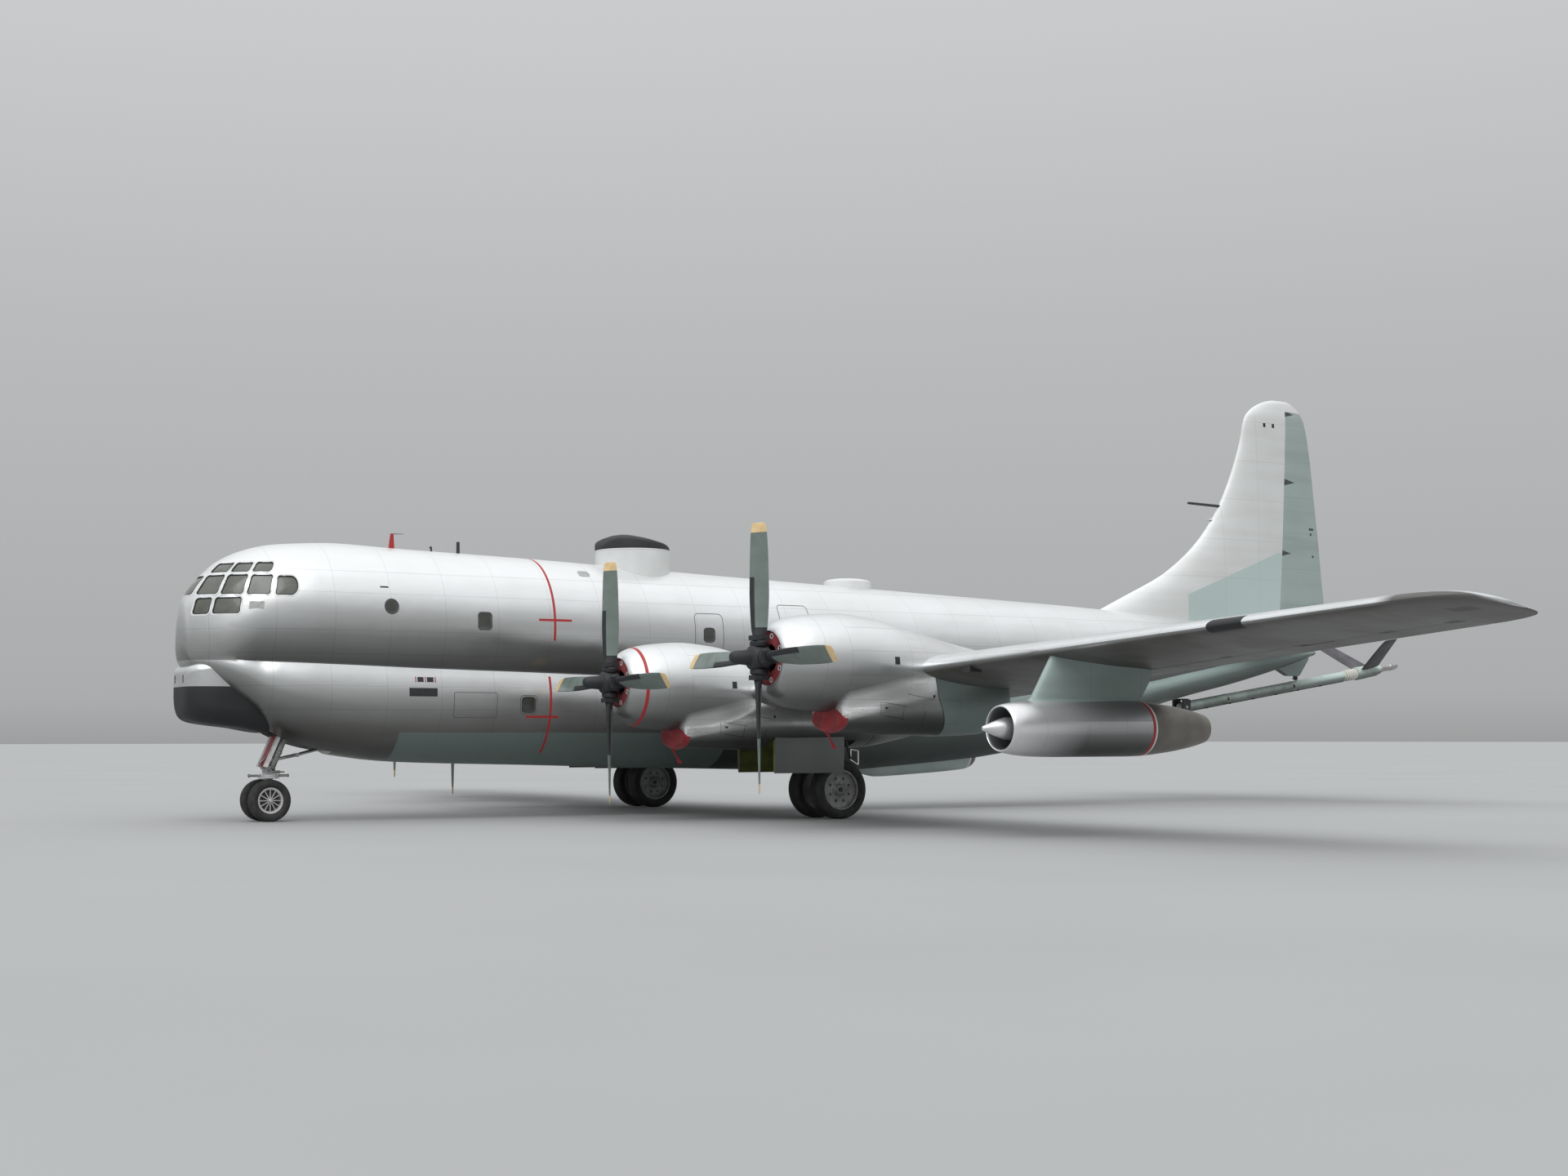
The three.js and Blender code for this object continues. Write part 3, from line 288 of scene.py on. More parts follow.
def weathered_and_shaded_paint(name, color=SILVER, roughness=0.34, metallic=0.78, dents=2.4, grime=0.35, local=False):
    finish = Finish(name, color, roughness, metallic, local)
    patches = finish.spread(finish.noise(0.7, 4), 0.38, 0.62)
    streaks = finish.spread(finish.noise(0.9, 5, (0.25, 1, 3)), 0.42, 0.75)
    flakes = finish.noise(420, 1)
    finish.tint(finish.math("MULTIPLY", patches, 0.5), (0.9, 0.9, 0.89))
    finish.tint(finish.math("MULTIPLY", streaks, grime), (0.72, 0.70, 0.67))
    # Surfaces facing down are darkened in two steps: mostly painted shade, with some grime.
    finish.tint(finish.spread(finish.facing_up, 0.3, -0.25), (0.52, 0.52, 0.51))
    finish.tint(finish.spread(finish.facing_up, -0.1, -0.8), (0.5, 0.5, 0.49))
    finish.roughness = finish.math("ADD", roughness - 0.05, finish.math("MULTIPLY", patches, 0.1))
    finish.emboss(finish.noise(1.1, 2), dents * 9)
    finish.emboss(finish.noise(4.2, 2), dents)
    finish.emboss(flakes, 0.12)
    return finish


def add_seams(finish, *masks):
    seam = finish.either(*masks)
    finish.tint(finish.math("MULTIPLY", seam, 0.3), (0.4, 0.4, 0.41))
    finish.emboss(seam, -0.8)


# %% [markdown]
# A skin is a row of rings with equally many points. The tables below give only a few sections, as a drawing
# does. The curve between them is worked out with slopes that never overshoot, so a smooth tube stays inside
# its own sizes. A sharp fold in the skin, such as the crease along the flank, is found afterwards by its
# angle.

# %% Shapes: smooth tables, skins and cuts
def follow(rows, places):
    """Smooth values between the rows of a table, whose first column says where each row is."""
    table = np.array(rows, float)
    at, values = table[:, 0], table[:, 1:]
    gap = np.diff(at)[:, None]
    rate = np.diff(values, axis=0) / gap
    slope = np.zeros_like(values)
    slope[0], slope[-1] = rate[0], rate[-1]
    before, after = 2 * gap[1:] + gap[:-1], gap[1:] + 2 * gap[:-1]
    turning = rate[:-1] * rate[1:] <= 0
    safe = np.where(turning, 1.0, rate[:-1]), np.where(turning, 1.0, rate[1:])
    slope[1:-1] = np.where(turning, 0.0, (before + after) / (before / safe[0] + after / safe[1]))
    places = np.asarray(places, float)
    i = np.clip(np.searchsorted(at, places, side="right") - 1, 0, len(at) - 2)
    t = ((places - at[i]) / gap[i, 0])[:, None]
    lift = (t - 1) ** 2 * t * slope[i] * gap[i] + (t - 1) * t**2 * slope[i + 1] * gap[i]
    return values[i] + (values[i + 1] - values[i]) * (3 - 2 * t) * t**2 + lift


def skin(rings):
    """Points and faces of a closed skin through rings, each end closed by one face."""
    rings = np.asarray(rings, float)
    count, size = rings.shape[:2]
    here = np.arange(count - 1)[:, None] * size + np.arange(size)
    there = np.roll(here.reshape(count - 1, size), -1, axis=1)
    faces = np.stack([here, there, there + size, here + size], axis=-1).reshape(-1, 4).tolist()
    faces.append(list(range(size))[::-1])
    faces.append(list(range((count - 1) * size, count * size)))
    return rings.reshape(-1, 3), faces


def solid_mesh(name, points, faces, scale=True):
    """A mesh of a closed body, welded, with its faces turned outwards."""
    mesh = bpy.data.meshes.new(name)
    places = model_space(points) if scale else np.asarray(points, float)
    mesh.from_pydata(places.tolist(), [], faces)
    work = bmesh.new()
    work.from_mesh(mesh)
    bmesh.ops.remove_doubles(work, verts=work.verts, dist=1e-5)
    bmesh.ops.dissolve_degenerate(work, edges=work.edges, dist=1e-6)
    if work.calc_volume(signed=True) < 0:
        bmesh.ops.reverse_faces(work, faces=work.faces)
    work.to_mesh(mesh)
    work.free()
    return mesh


def turned_outwards(points, faces):
    """The faces of one closed body, reversed where the body would be inside out."""
    points = np.asarray(points, float)
    fans = [(face[0], a, b) for face in faces for a, b in zip(face[1:], face[2:])]
    first, second, third = np.moveaxis(points[np.array(fans)] - points.mean(axis=0), 1, 0)
    volume = np.sum(first * np.cross(second, third))
    return faces if volume > 0 else [face[::-1] for face in faces]


def body_from(name, *parts, scale=True):
    """An object of one or more closed bodies, each given as points and faces."""
    points, faces = [], []
    for some_points, some_faces in parts:
        faces += [[i + len(points) for i in face] for face in turned_outwards(some_points, some_faces)]
        points += [list(point) for point in some_points]
    return link(bpy.data.objects.new(name, solid_mesh(name, points, faces, scale)))


def cut(target, tool, operation="DIFFERENCE"):
    """Cuts, joins or keeps the overlap of two closed bodies, and removes the tool."""
    change = target.modifiers.new("cut", "BOOLEAN")
    change.object = tool
    change.operation = operation
    change.solver = "EXACT"
    with bpy.context.temp_override(object=target, active_object=target):
        bpy.ops.object.modifier_apply(modifier=change.name)
    bpy.data.objects.remove(tool, do_unlink=True)
    return target


def smooth(made, angle=32):
    made.data.shade_smooth()
    made.data.set_sharp_from_angle(angle=math.radians(angle))
    return made


def dress(made, body, slot, *materials, replaces=()):
    """Smooths a piece, gives it its finishes and its body, and says what it stands for. Its slot is not used.
    """
    smooth(made)
    made.data.materials.clear()
    for material in materials:
        made.data.materials.append(material)
    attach(made, body)
    if replaces:
        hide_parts(*replaces)
    return made


def block(x, y, z):
    """A box's points and faces from its low and high values along each axis."""
    corners = [(a, b, c) for a in x for b in y for c in z]
    return corners, [(0, 1, 3, 2), (4, 6, 7, 5), (0, 4, 5, 1), (2, 3, 7, 6), (0, 2, 6, 4), (1, 5, 7, 3)]


def turned(profile, segments=48, axis="x", at=(0, 0, 0)):
    """A turned body from pairs of distance along the axis and radius."""
    angles = np.linspace(0, 2 * math.pi, segments, endpoint=False)
    rings = []
    for along, radius in profile:
        radius = max(radius, 0.01)
        first, second = radius * np.cos(angles), radius * np.sin(angles)
        flat = np.full(segments, float(along))
        columns = {"x": (flat, first, second), "y": (second, flat, first), "z": (first, second, flat)}[axis]
        rings.append(np.stack(columns, axis=1) + np.array(at, float))
    return skin(rings)


def rod(start, end, radius, end_radius=None, segments=24):
    """A round bar between two points."""
    start, end = Vector(start), Vector(end)
    along = (end - start).normalized()
    side = along.orthogonal().normalized()
    other = along.cross(side)
    rings = []
    for centre, size in ((start, radius), (end, radius if end_radius is None else end_radius)):
        angles = [2 * math.pi * i / segments for i in range(segments)]
        rings.append([centre + (side * math.cos(a) + other * math.sin(a)) * size for a in angles])
    return skin([[tuple(point) for point in ring] for ring in rings])


# %% [markdown]
# The hull is two round tubes, one above the other, which keep each other in shape along the fold on each
# flank. Its maker bends sheet over round frames. Here the sections come from a table, the fold grows in
# behind the round nose, and the rings are closest together at the front. The nose is quick to turn, so its
# rows are followed along the square root of the distance aft, which makes the tip round and not pointed.

# %% Hull: sections
CREASE_ABOVE, CREASE_BELOW = math.radians(37.5), math.radians(24)
UPPER_POINTS, LOWER_POINTS = 64, 40
HULL = [
    # aft of the nose, heights of the crown, the crease and the keel, half width
    (0, 4190, 3990, 3880, 70),
    (50, 4700, 3700, 3560, 430),
    (120, 4900, 3500, 3340, 540),
    (450, 5300, 3478, 3020, 960),
    (840, 5640, 3468, 2690, 1240),
    (1370, 5890, 3455, 2300, 1480),
    (1910, 6030, 3442, 1890, 1616),
    (2600, 6100, 3425, 1600, 1676),
    (3430, 6140, 3405, 1430, 1676),
    (4720, 6090, 3365, 1285, 1676),
    (8240, 5985, 3290, 1180, 1676),
    (11970, 5830, 3195, 1080, 1676),
    (17000, 5640, 3070, 1000, 1676),
    (19750, 5535, 3000, 1150, 1676),
    (21950, 5455, 3000, 1400, 1640),
    (24900, 5335, 3150, 2080, 1470),
    (28000, 5140, 3620, 2870, 1080),
    (30200, 4970, 3980, 3330, 780),
    (32000, 4790, 4180, 3770, 500),
    (33500, 4500, 4320, 4200, 140),
]
HULL_BY_ROOT = [(math.sqrt(x), *shape) for x, *shape in HULL]
SAGE_FROM = 12900


def hull_shape(places):
    return follow(HULL_BY_ROOT, np.sqrt(places))


def hull_rings(places, inset=0.0, points=(UPPER_POINTS, LOWER_POINTS)):
    rings = []
    for x, (crown, crease, keel, half) in zip(places, hull_shape(places)):
        fold = min(1.0, max(0.0, (x - 300) / 1100))
        above, below = CREASE_ABOVE * fold, CREASE_BELOW * fold
        high = (crown - inset - crease) / (1 + math.sin(above))
        low = (crease - keel - inset) / (1 + math.sin(below))
        wide = half - inset
        lower_wide = wide * math.cos(above) / math.cos(below)
        round_top = np.linspace(-above, math.pi + above, points[0] + 1)
        round_belly = np.linspace(math.pi - below, 2 * math.pi + below, points[1] + 1)[1:-1]
        y = np.concatenate([wide * np.cos(round_top), lower_wide * np.cos(round_belly)])
        top = crease + high * (math.sin(above) + np.sin(round_top))
        z = np.concatenate([top, crease + low * (np.sin(round_belly) - math.sin(below))])
        rings.append(np.stack([np.full(len(y), x), y, z], axis=1))
    return rings


nose_places = np.linspace(0, 58.3, 44) ** 2
body_places = np.concatenate([np.arange(3700, SAGE_FROM, 400), np.arange(SAGE_FROM, 33500, 330), [33500]])
hull_points, hull_faces = skin(hull_rings(np.concatenate([nose_places, body_places])))
hull_tree = BVHTree.FromPolygons(hull_points.tolist(), hull_faces)
print("hull", len(hull_faces), "faces")


def side_skin(x, z, side, lift=0.0):
    """The point of the hull's side at x and z, moved out by lift along the skin's slope."""
    spot, normal, _, _ = hull_tree.ray_cast(Vector((x, side * 4000, z)), Vector((0, -side, 0)))
    if spot is None:
        return Vector((x, 0, z))
    if normal.y * side < 0:
        normal = -normal
    return spot + normal * lift


# %% [markdown]
# The flight deck is a greenhouse of flat and slightly curved panes in rounded frames. The makers rivet each
# frame into the skin, press the pane in from inside on a black rubber seal and paint the frame pale. Each
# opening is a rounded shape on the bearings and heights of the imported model's window. The same outline,
# drawn a little larger or smaller and dropped onto the skin by a ray, gives the cut, the seal, the frame
# and the pane.

# %% Hull: outlines of the windows
FLIGHT_DECK_X = 2600
WINDOWS = [
    # first and last bearing, sill, head, radius of the corners ahead and behind
    (-7, 7, 4870, 5290, 60, 60),
    (9.5, 22.5, 4870, 5290, 60, 60),
    (24.5, 38, 4860, 5290, 60, 60),
    (40.5, 55, 4850, 5280, 60, 60),
    (58.5, 74, 4840, 5260, 60, 205),
    (9.5, 22.5, 5350, 5560, 50, 50),
    (24.5, 37, 5350, 5560, 50, 50),
    (39.5, 53, 5350, 5570, 50, 90),
    (11, 20.5, 4440, 4790, 60, 60),
    (22.5, 38, 4440, 4790, 60, 60),
]
ARC_SPAN = 2150  # a bearing's millimetres across, at the windows


def rounded(low, high, radii, grow=0.0, steps=7):
    """A rounded rectangle's outline, with the radius of its corners on the low and on the high side."""
    low, high = np.array(low, float) - grow, np.array(high, float) + grow
    outline = []
    for (cx, cz), start in (
        ((high[0], high[1]), 0), ((low[0], high[1]), 90), (low, 180), ((high[0], low[1]), 270)
    ):
        on_low_side = cx == low[0]
        radius = max(radii[0] if on_low_side else radii[1], 1) + grow
        centre = (cx + radius * (1 if on_low_side else -1), cz + radius * (1 if cz == low[1] else -1))
        for step in range(steps + 1):
            angle = math.radians(start + 90 * step / steps)
            outline.append((centre[0] + radius * math.cos(angle), centre[1] + radius * math.sin(angle)))
    return np.array(outline)


def window_outline(row, grow=0.0):
    first, last, sill, head, ahead_radius, behind_radius = row
    span = [math.radians(bearing) * ARC_SPAN for bearing in (first, last)]
    return rounded((span[0], sill), (span[1], head), (ahead_radius, behind_radius), grow)


def bearing_ray(along, z, side):
    bearing = along / ARC_SPAN
    return Vector((FLIGHT_DECK_X, 0, z)), Vector((-math.cos(bearing), side * math.sin(bearing), 0))


def front_skin(along, z, side, lift=0.0):
    start, direction = bearing_ray(along, z, side)
    spot, normal, _, _ = hull_tree.ray_cast(start, direction)
    if normal.dot(direction) < 0:
        normal = -normal
    return spot + normal * lift


def window_cut(row, side):
    outline = window_outline(row)
    rings = []
    for reach in (900, 3400):
        ring = []
        for along, z in outline:
            start, direction = bearing_ray(along, z, side)
            ring.append(tuple(start + direction * reach))
        rings.append(ring)
    return skin(rings)


def front_band(row, side, inner, outer, bottom, top):
    """A closed strip round a window, between two outlines and two heights over the skin."""
    corners = ((inner, bottom), (inner, top), (outer, top), (outer, bottom))
    loops = [
        [tuple(front_skin(a, z, side, lift)) for a, z in window_outline(row, grow)] for grow, lift in corners
    ]
    return ring_band(loops)


def ring_band(loops):
    """Points and faces of a closed ring-shaped body from loops that go round its cross-section."""
    loops = np.asarray(loops, float)
    count, size = loops.shape[:2]
    faces = []
    for a in range(count):
        for i in range(size):
            j, b = (i + 1) % size, (a + 1) % count
            faces.append((a * size + i, a * size + j, b * size + j, b * size + i))
    return loops.reshape(-1, 3), faces


def front_pane(row, side, depth, thick=14):
    """A pane that follows the skin, from rings that shrink to the outline's middle."""
    outline = window_outline(row)
    middle = outline.mean(axis=0)
    shells = []
    for lift in (-depth, -depth - thick):
        for share in (1.0, 0.75, 0.5, 0.25, 0.02):
            shells.append(
                [tuple(front_skin(a, z, side, lift)) for a, z in middle + (outline - middle) * share]
            )
    shells = shells[4::-1] + shells[5:]
    return skin(shells)


window_sides = [(row, side) for row in WINDOWS for side in ((1,) if row[0] < 0 else (-1, 1))]
print(len(window_sides), "windows over the flight deck")

# %% [markdown]
# The skin is closed at the nose and the tail, hollow inside, and opened for the windows and the nose
# wheels. A shell of even thickness is the outer skin less the same sections taken in all round. All the
# openings go in one cutting body, because one cut of many holes is quicker and cleaner than many cuts.

# %% Hull: skin, cavity and openings
NOSE_WELL = ((1830, 3300), (-430, 430), (1000, 2330))
SIDE_WINDOWS = [
    # middle, half length, half height, radius
    (6430, 4400, 145, 175, 60),
    (4235, 4660, 140, 145, 138),
    (7600, 2555, 145, 150, 55),
    (12170, 4220, 130, 150, 70),
]


def side_outline(x, z, half_x, half_z, radius, grow=0.0):
    return rounded((x - half_x, z - half_z), (x + half_x, z + half_z), (radius, radius), grow)


def side_loop(outline, side, lift):
    return [tuple(side_skin(x, z, side, lift)) for x, z in outline]


hull = link(bpy.data.objects.new("hull_skin", solid_mesh("hull_skin", hull_points, hull_faces)))
cavity_places = np.concatenate([np.linspace(17, 58, 16) ** 2, np.arange(3700, 30000, 1300)])
cut(hull, body_from("cavity", skin(hull_rings(cavity_places, 100, (32, 20)))))
cut(hull, body_from("openings", block(*NOSE_WELL), *[window_cut(row, side) for row, side in window_sides]))
recesses = []
for side in SIDES.values():
    for window in SIDE_WINDOWS:
        outline = side_outline(*window)
        recesses.append(skin([side_loop(outline, side, lift) for lift in (60, -22)]))
cut(hull, body_from("recesses", *recesses))
print("hull skin", len(hull.data.polygons), "faces")

# %% [markdown]
# The lower lobe is painted sage aft of the main gear, the belly is sage all along, and red bands mark where
# the propellers turn. The paint is one material that knows where each point is, and the sage lobe is a
# second material on the faces below the crease, so its edge follows the fold exactly.

# %% Hull: paint
def hull_paint():
    finish = weathered_and_shaded_paint("hull_silver_paint")
    low_belly = finish.math(
        "MULTIPLY", finish.math("LESS_THAN", finish.z, 1.93), finish.math("GREATER_THAN", finish.x, 4.6)
    )
    chalk = finish.spread(finish.z, 4.6, 5.9)
    finish.paint(finish.math("MULTIPLY", chalk, 0.55), (0.86, 0.86, 0.86), metallic=0.45, roughness=0.42)
    # Painted shade: the lower lobe darkens towards the bottom, where the wing and nacelles shade it.
    finish.tint(finish.spread(finish.z, 2.9, 1.9), (0.62, 0.62, 0.59))
    # Painted shade: the upper lobe darkens just above the crease, under the fold.
    above = finish.math(
        "ADD", finish.math("SUBTRACT", finish.z, 3.47), finish.math("MULTIPLY", finish.x, 0.024)
    )
    painted_crease_shade = finish.both(finish.spread(above, 0.95, 0.05), finish.math("GREATER_THAN", above, 0))
    finish.tint(painted_crease_shade, (0.5, 0.5, 0.49))
    finish.paint(low_belly, SAGE, 0.25, 0.5)
    # Painted shade: the sage belly is darkened further where it faces the ground.
    finish.tint(low_belly, (0.45, 0.46, 0.45))
    upper_ring = finish.both(finish.within(finish.x, 8.12, 8.18), finish.math("GREATER_THAN", finish.z, 4.0))
    upper_bar = finish.both(finish.within(finish.x, 7.75, 8.57), finish.within(finish.z, 4.435, 4.49))
    lower_ring = finish.both(finish.within(finish.x, 8.12, 8.18), finish.within(finish.z, 1.47, 3.2))
    lower_bar = finish.both(finish.within(finish.x, 7.55, 8.36), finish.within(finish.z, 2.255, 2.31))
    finish.paint(finish.either(upper_ring, upper_bar, lower_ring, lower_bar), RED, 0.1, 0.5)
    seams = [finish.lines(finish.x, 1.27, 0.012, 0.42)]
    seams += [finish.within(finish.z, z - 0.006, z + 0.006) for z in (5.42, 4.93, 4.12, 3.62, 2.92, 2.42)]
    add_seams(finish, *seams)
    return finish.done()


def sage_paint(name="sage_paint", color=SAGE, metallic=0.2, below=(1, 1, 1)):
    finish = weathered_and_shaded_paint(name, color, 0.5, metallic, 1.6, 0.5)
    # Painted shade: darker towards the bottom, by the colour given as below.
    finish.tint(finish.spread(finish.z, 3.2, 1.7), below)
    add_seams(finish, finish.lines(finish.x, 1.27, 0.012, 0.42))
    return finish.done()


def lining_paint():
    finish = Finish("cabin_lining", (0.16, 0.17, 0.165), 0.75)
    finish.tint(finish.spread(finish.noise(6), 0.35, 0.65), (0.8, 0.82, 0.8))
    return finish.done()


silver_hull, sage, lining = hull_paint(), sage_paint(), lining_paint()
# The hull's sage gets painted shade towards its bottom.
hull_sage = sage_paint("hull_sage_paint", below=(0.42, 0.43, 0.43))
dress(hull, "airframe", "silver_skin", silver_hull, hull_sage, lining,
      replaces=("fuselage_nose", "fuselage_middle", "fuselage_aft"))
for face in hull.data.polygons:
    x, y, z = face.center
    full_x = (x * MM_PER_METRE) + LENGTH / 2
    crease = hull_shape([max(full_x, 1.0)])[0][1]
    if full_x > SAGE_FROM and z * MM_PER_METRE < crease:
        face.material_index = 1
print("hull painted, sage faces", sum(face.material_index == 1 for face in hull.data.polygons))

# %% [markdown]
# The panes are plain glass that has hazed in the sun, with blinds drawn inside some. Frames are thin pale
# rings, and the seals black rubber. Clear glass over a dark cabin would look black, so the glass here is
# opaque, partly rough and dark grey under a glossy coat.

# %% Windows: frames, seals and panes
def plain_finish(
    name, color, roughness, metallic=0.0, scale=3.0, wear=(0.8, 0.8, 0.8), depth=0.3, local=False
):
    """A paint or metal with cloudy wear, a change of gloss with it and a fine grain."""
    finish = Finish(name, color, roughness, metallic, local)
    cloud = finish.spread(finish.noise(scale, 4), 0.35, 0.68)
    finish.tint(cloud, wear)
    finish.roughness = finish.math("ADD", roughness - 0.06, finish.math("MULTIPLY", cloud, 0.12))
    finish.emboss(finish.noise(scale * 22, 2), depth)
    return finish


def glass_finish(name, color):
    finish = Finish(name, color, 0.16)
    haze = finish.spread(finish.noise(2.6, 3), 0.35, 0.7)
    finish.tint(haze, (0.55, 0.55, 0.5))
    finish.roughness = finish.math("ADD", 0.1, finish.math("MULTIPLY", haze, 0.2))
    finish.shader.inputs["Coat Weight"].default_value = 0.4
    return finish.done()


frame_paint = plain_finish("window_frame_paint", WHITE, 0.42, 0.1).done()
rubber = plain_finish("seal_rubber", (0.022, 0.023, 0.024), 0.75, depth=0.6, wear=(0.6, 0.6, 0.6)).done()
# Painted shade: the panes are opaque, and their dark grey stands for the dim cabin seen through the glass;
# the side panes are darker still.
glass = glass_finish("hazed_glass", (0.13, 0.135, 0.12))
side_glass = glass_finish("side_glass", (0.06, 0.062, 0.055))
frames = body_from("window_frames", *[front_band(row, side, 5, 40, -4, 6) for row, side in window_sides])
dress(frames, "airframe", "silver_skin", frame_paint)
seals = body_from("window_seals", *[front_band(row, side, -16, 7, -20, 2) for row, side in window_sides])
dress(seals, "airframe", "radome_black", rubber)
panes = body_from("window_panes", *[front_pane(row, side, 14) for row, side in window_sides])
dress(panes, "airframe", "cockpit_glass", glass, replaces=("cockpit_glazing",))

side_panes, side_frames = [], []
for side in SIDES.values():
    for x, z, half_x, half_z, radius in SIDE_WINDOWS:
        outline = side_outline(x, z, half_x, half_z, radius)
        middle = outline.mean(axis=0)
        shells = [side_loop(middle + (outline - middle) * share, side, -12) for share in (0.02, 0.5, 1.0)]
        side_panes.append(skin(shells + [side_loop(outline, side, -21)]))
        rim = [(4, -3), (4, 5), (26, 5), (26, -3)]
        side_frames.append(ring_band([
            side_loop(side_outline(x, z, half_x, half_z, radius, grow), side, lift) for grow, lift in rim]))
dress(body_from("side_window_panes", *side_panes), "airframe", "cockpit_glass", side_glass)
dress(body_from("side_window_frames", *side_frames), "airframe", "radome_black", rubber)
print("window pieces", len(frames.data.polygons), len(seals.data.polygons), len(panes.data.polygons))

# %% [markdown]
# Under the nose hangs a chin: a silver fairing above, and below it a radome of black rubber-coated glass
# cloth that radar can see through. It is one form with rounded corners, cut in two at a level joint.
# Cutting one loft keeps both halves flush, as the fitter of the real one does by drilling them together.

# %% Chin fairing and radome
CHIN_SPLIT = 2900
CHIN = [
    # aft of the nose, half width, bottom, top
    (24, 300, 2520, 3120),
    (34, 470, 2350, 3230),
    (110, 680, 2240, 3330),
    (320, 860, 2150, 3400),
    (700, 950, 2090, 3430),
    (1200, 950, 2030, 3430),
    (1750, 800, 1930, 3430),
    (2100, 450, 1900, 3430),
]


def chin_rings():
    rooted = [(math.sqrt(x - 24), *shape) for x, *shape in CHIN]
    rings = []
    for root, (half, bottom, top) in zip(np.linspace(0, 45.5, 46), follow(rooted, np.linspace(0, 45.5, 46))):
        radius = min(half, 420)
        arc = [math.radians(a) for a in range(0, 91, 6)]
        right = [(half - radius + radius * math.cos(a), bottom + radius - radius * math.sin(a)) for a in arc]
        shoulder = min(half, 160)
        corner = [
            (half - shoulder + shoulder * math.sin(a), top - shoulder + shoulder * math.cos(a)) for a in arc
        ]
        half_ring = corner + right
        ring = half_ring + [(-y, z) for y, z in half_ring[::-1]]
        rings.append([(24 + root**2, y, z) for y, z in ring])
    return rings


def radome_finish():
    finish = plain_finish(
        "radome_coating", (0.011, 0.0115, 0.0125), 0.66, wear=(1.6, 1.6, 1.6), scale=1.6, depth=0.5
    )
    finish.tint(finish.spread(finish.z, 2.7, 2.9), (1.5, 1.5, 1.5))
    return finish.done()


radome_black = radome_finish()
well_tool = block(*NOSE_WELL)
radome = body_from("chin_radome_skin", skin(chin_rings()))
cut(radome, body_from("above", block((-100, 2600), (-1200, 1200), (CHIN_SPLIT - 3, 4000)), well_tool))
dress(radome, "airframe", "radome_black", radome_black, replaces=("chin_radome",))
fairing = body_from("chin_fairing", skin(chin_rings()))
cut(fairing, body_from("below", block((-100, 2600), (-1200, 1200), (1500, CHIN_SPLIT + 3))))
chin_paint = weathered_and_shaded_paint("chin_silver_paint").done()
dress(fairing, "airframe", "silver_skin", chin_paint)
slots = [block((20, 60), (y - 20, y + 20), (2985, 3150)) for y in (-330, 330)]
dress(body_from("chin_slots", *slots), "airframe", "radome_black", rubber)
print("chin", len(radome.data.polygons), len(fairing.data.polygons))

# %% [markdown]
# The boom operator lies in a pod under the belly and looks out aft. It is a shallow boat of painted sheet
# with three panes at its after end. The panes are faces of the same skin, a little darker and glossier,
# between frames.

# %% Boom operator's pod
POD = [
    # aft of the nose, half width, bottom
    (17400, 190, 960),
    (17560, 290, 900),
    (18000, 420, 820),
    (19200, 450, 875),
    (20350, 430, 950),
    (20860, 330, 1010),
    (21090, 200, 1130),
    (21170, 90, 1260),
]
POD_TOP = 1500


def pod_rings():
    places = np.linspace(POD[0][0], POD[-1][0], 60)
    turns = np.linspace(0, math.pi, 41)
    return [
        [(x, half * math.cos(turn), POD_TOP - (POD_TOP - bottom) * math.sin(turn)) for turn in turns]
        for x, (half, bottom) in zip(places, follow(POD, places))
    ]


pod = body_from("boom_operator_pod_skin", skin(pod_rings()))
pod_sage = plain_finish("pod_sage_paint", (0.42, 0.50, 0.48), 0.5, 0.0, 1.5, (0.8, 0.81, 0.79), 0.4).done()
dress(pod, "airframe", "sage_skin", pod_sage, glass, frame_paint, replaces=("boom_operator_pod",))
for face in pod.data.polygons:
    x = face.center.x * MM_PER_METRE + LENGTH / 2
    across = face.center.y * MM_PER_METRE
    if 20780 < x < 21150 and face.center.z * MM_PER_METRE < 1430:
        between_panes = abs(abs(across) - 130) < 20
        face.material_index = 2 if between_panes or x < 20830 else 1
print("pod", len(pod.data.polygons))

# %% [markdown]
# A white drum stands on the crown, with a black cap that slopes aft: a housing for an aerial. The wall is
# rolled sheet with a rivet band at its foot, and the cap a moulding. The cap's top is a smooth line of
# heights from front to back, carried across its width, and its edge is rounded over.

# %% Drum on the crown
DRUM_X, DRUM_RADIUS, DRUM_RIM = 11000, 900, 6290
CAP = [(-900, 6365), (-780, 6520), (-600, 6625), (-330, 6672), (0, 6640), (450, 6510), (900, 6325)]


def cap_rings():
    angles = np.linspace(0, 2 * math.pi, 96, endpoint=False)
    rings = []
    for share, drop in (
        (1.0, None), (1.0, 45), (0.985, 18), (0.95, 3), (0.8, 0), (0.6, 0), (0.4, 0), (0.2, 0), (0.01, 0)
    ):
        x, y = DRUM_RADIUS * share * np.cos(angles), DRUM_RADIUS * share * np.sin(angles)
        crown = 1 - 0.45 * (y / DRUM_RADIUS) ** 2
        top = DRUM_RIM + (follow(CAP, np.clip(x, -900, 900))[:, 0] - DRUM_RIM) * crown
        z = np.full(len(x), DRUM_RIM - 15) if drop is None else top - drop
        rings.append(np.stack([x + DRUM_X, y, z], axis=1))
    return rings


drum_paint = plain_finish(
    "drum_white_paint", (0.74, 0.75, 0.75), 0.45, 0.0, 1.2, (0.86, 0.86, 0.84), 0.4
).done()
drum_profile = [
    (5450, 10), (5450, 900), (6262, 900), (6266, 908), (6282, 908), (DRUM_RIM, 900), (DRUM_RIM, 10)
]
drum = body_from("drum_wall", turned(drum_profile, 96, "z", (DRUM_X, 0, 0)))
dress(drum, "airframe", "drum_white", drum_paint, replaces=("dorsal_drum",))
dress(body_from("drum_cap", skin(cap_rings())), "airframe", "radome_black", radome_black)
print("drum", len(drum.data.polygons))


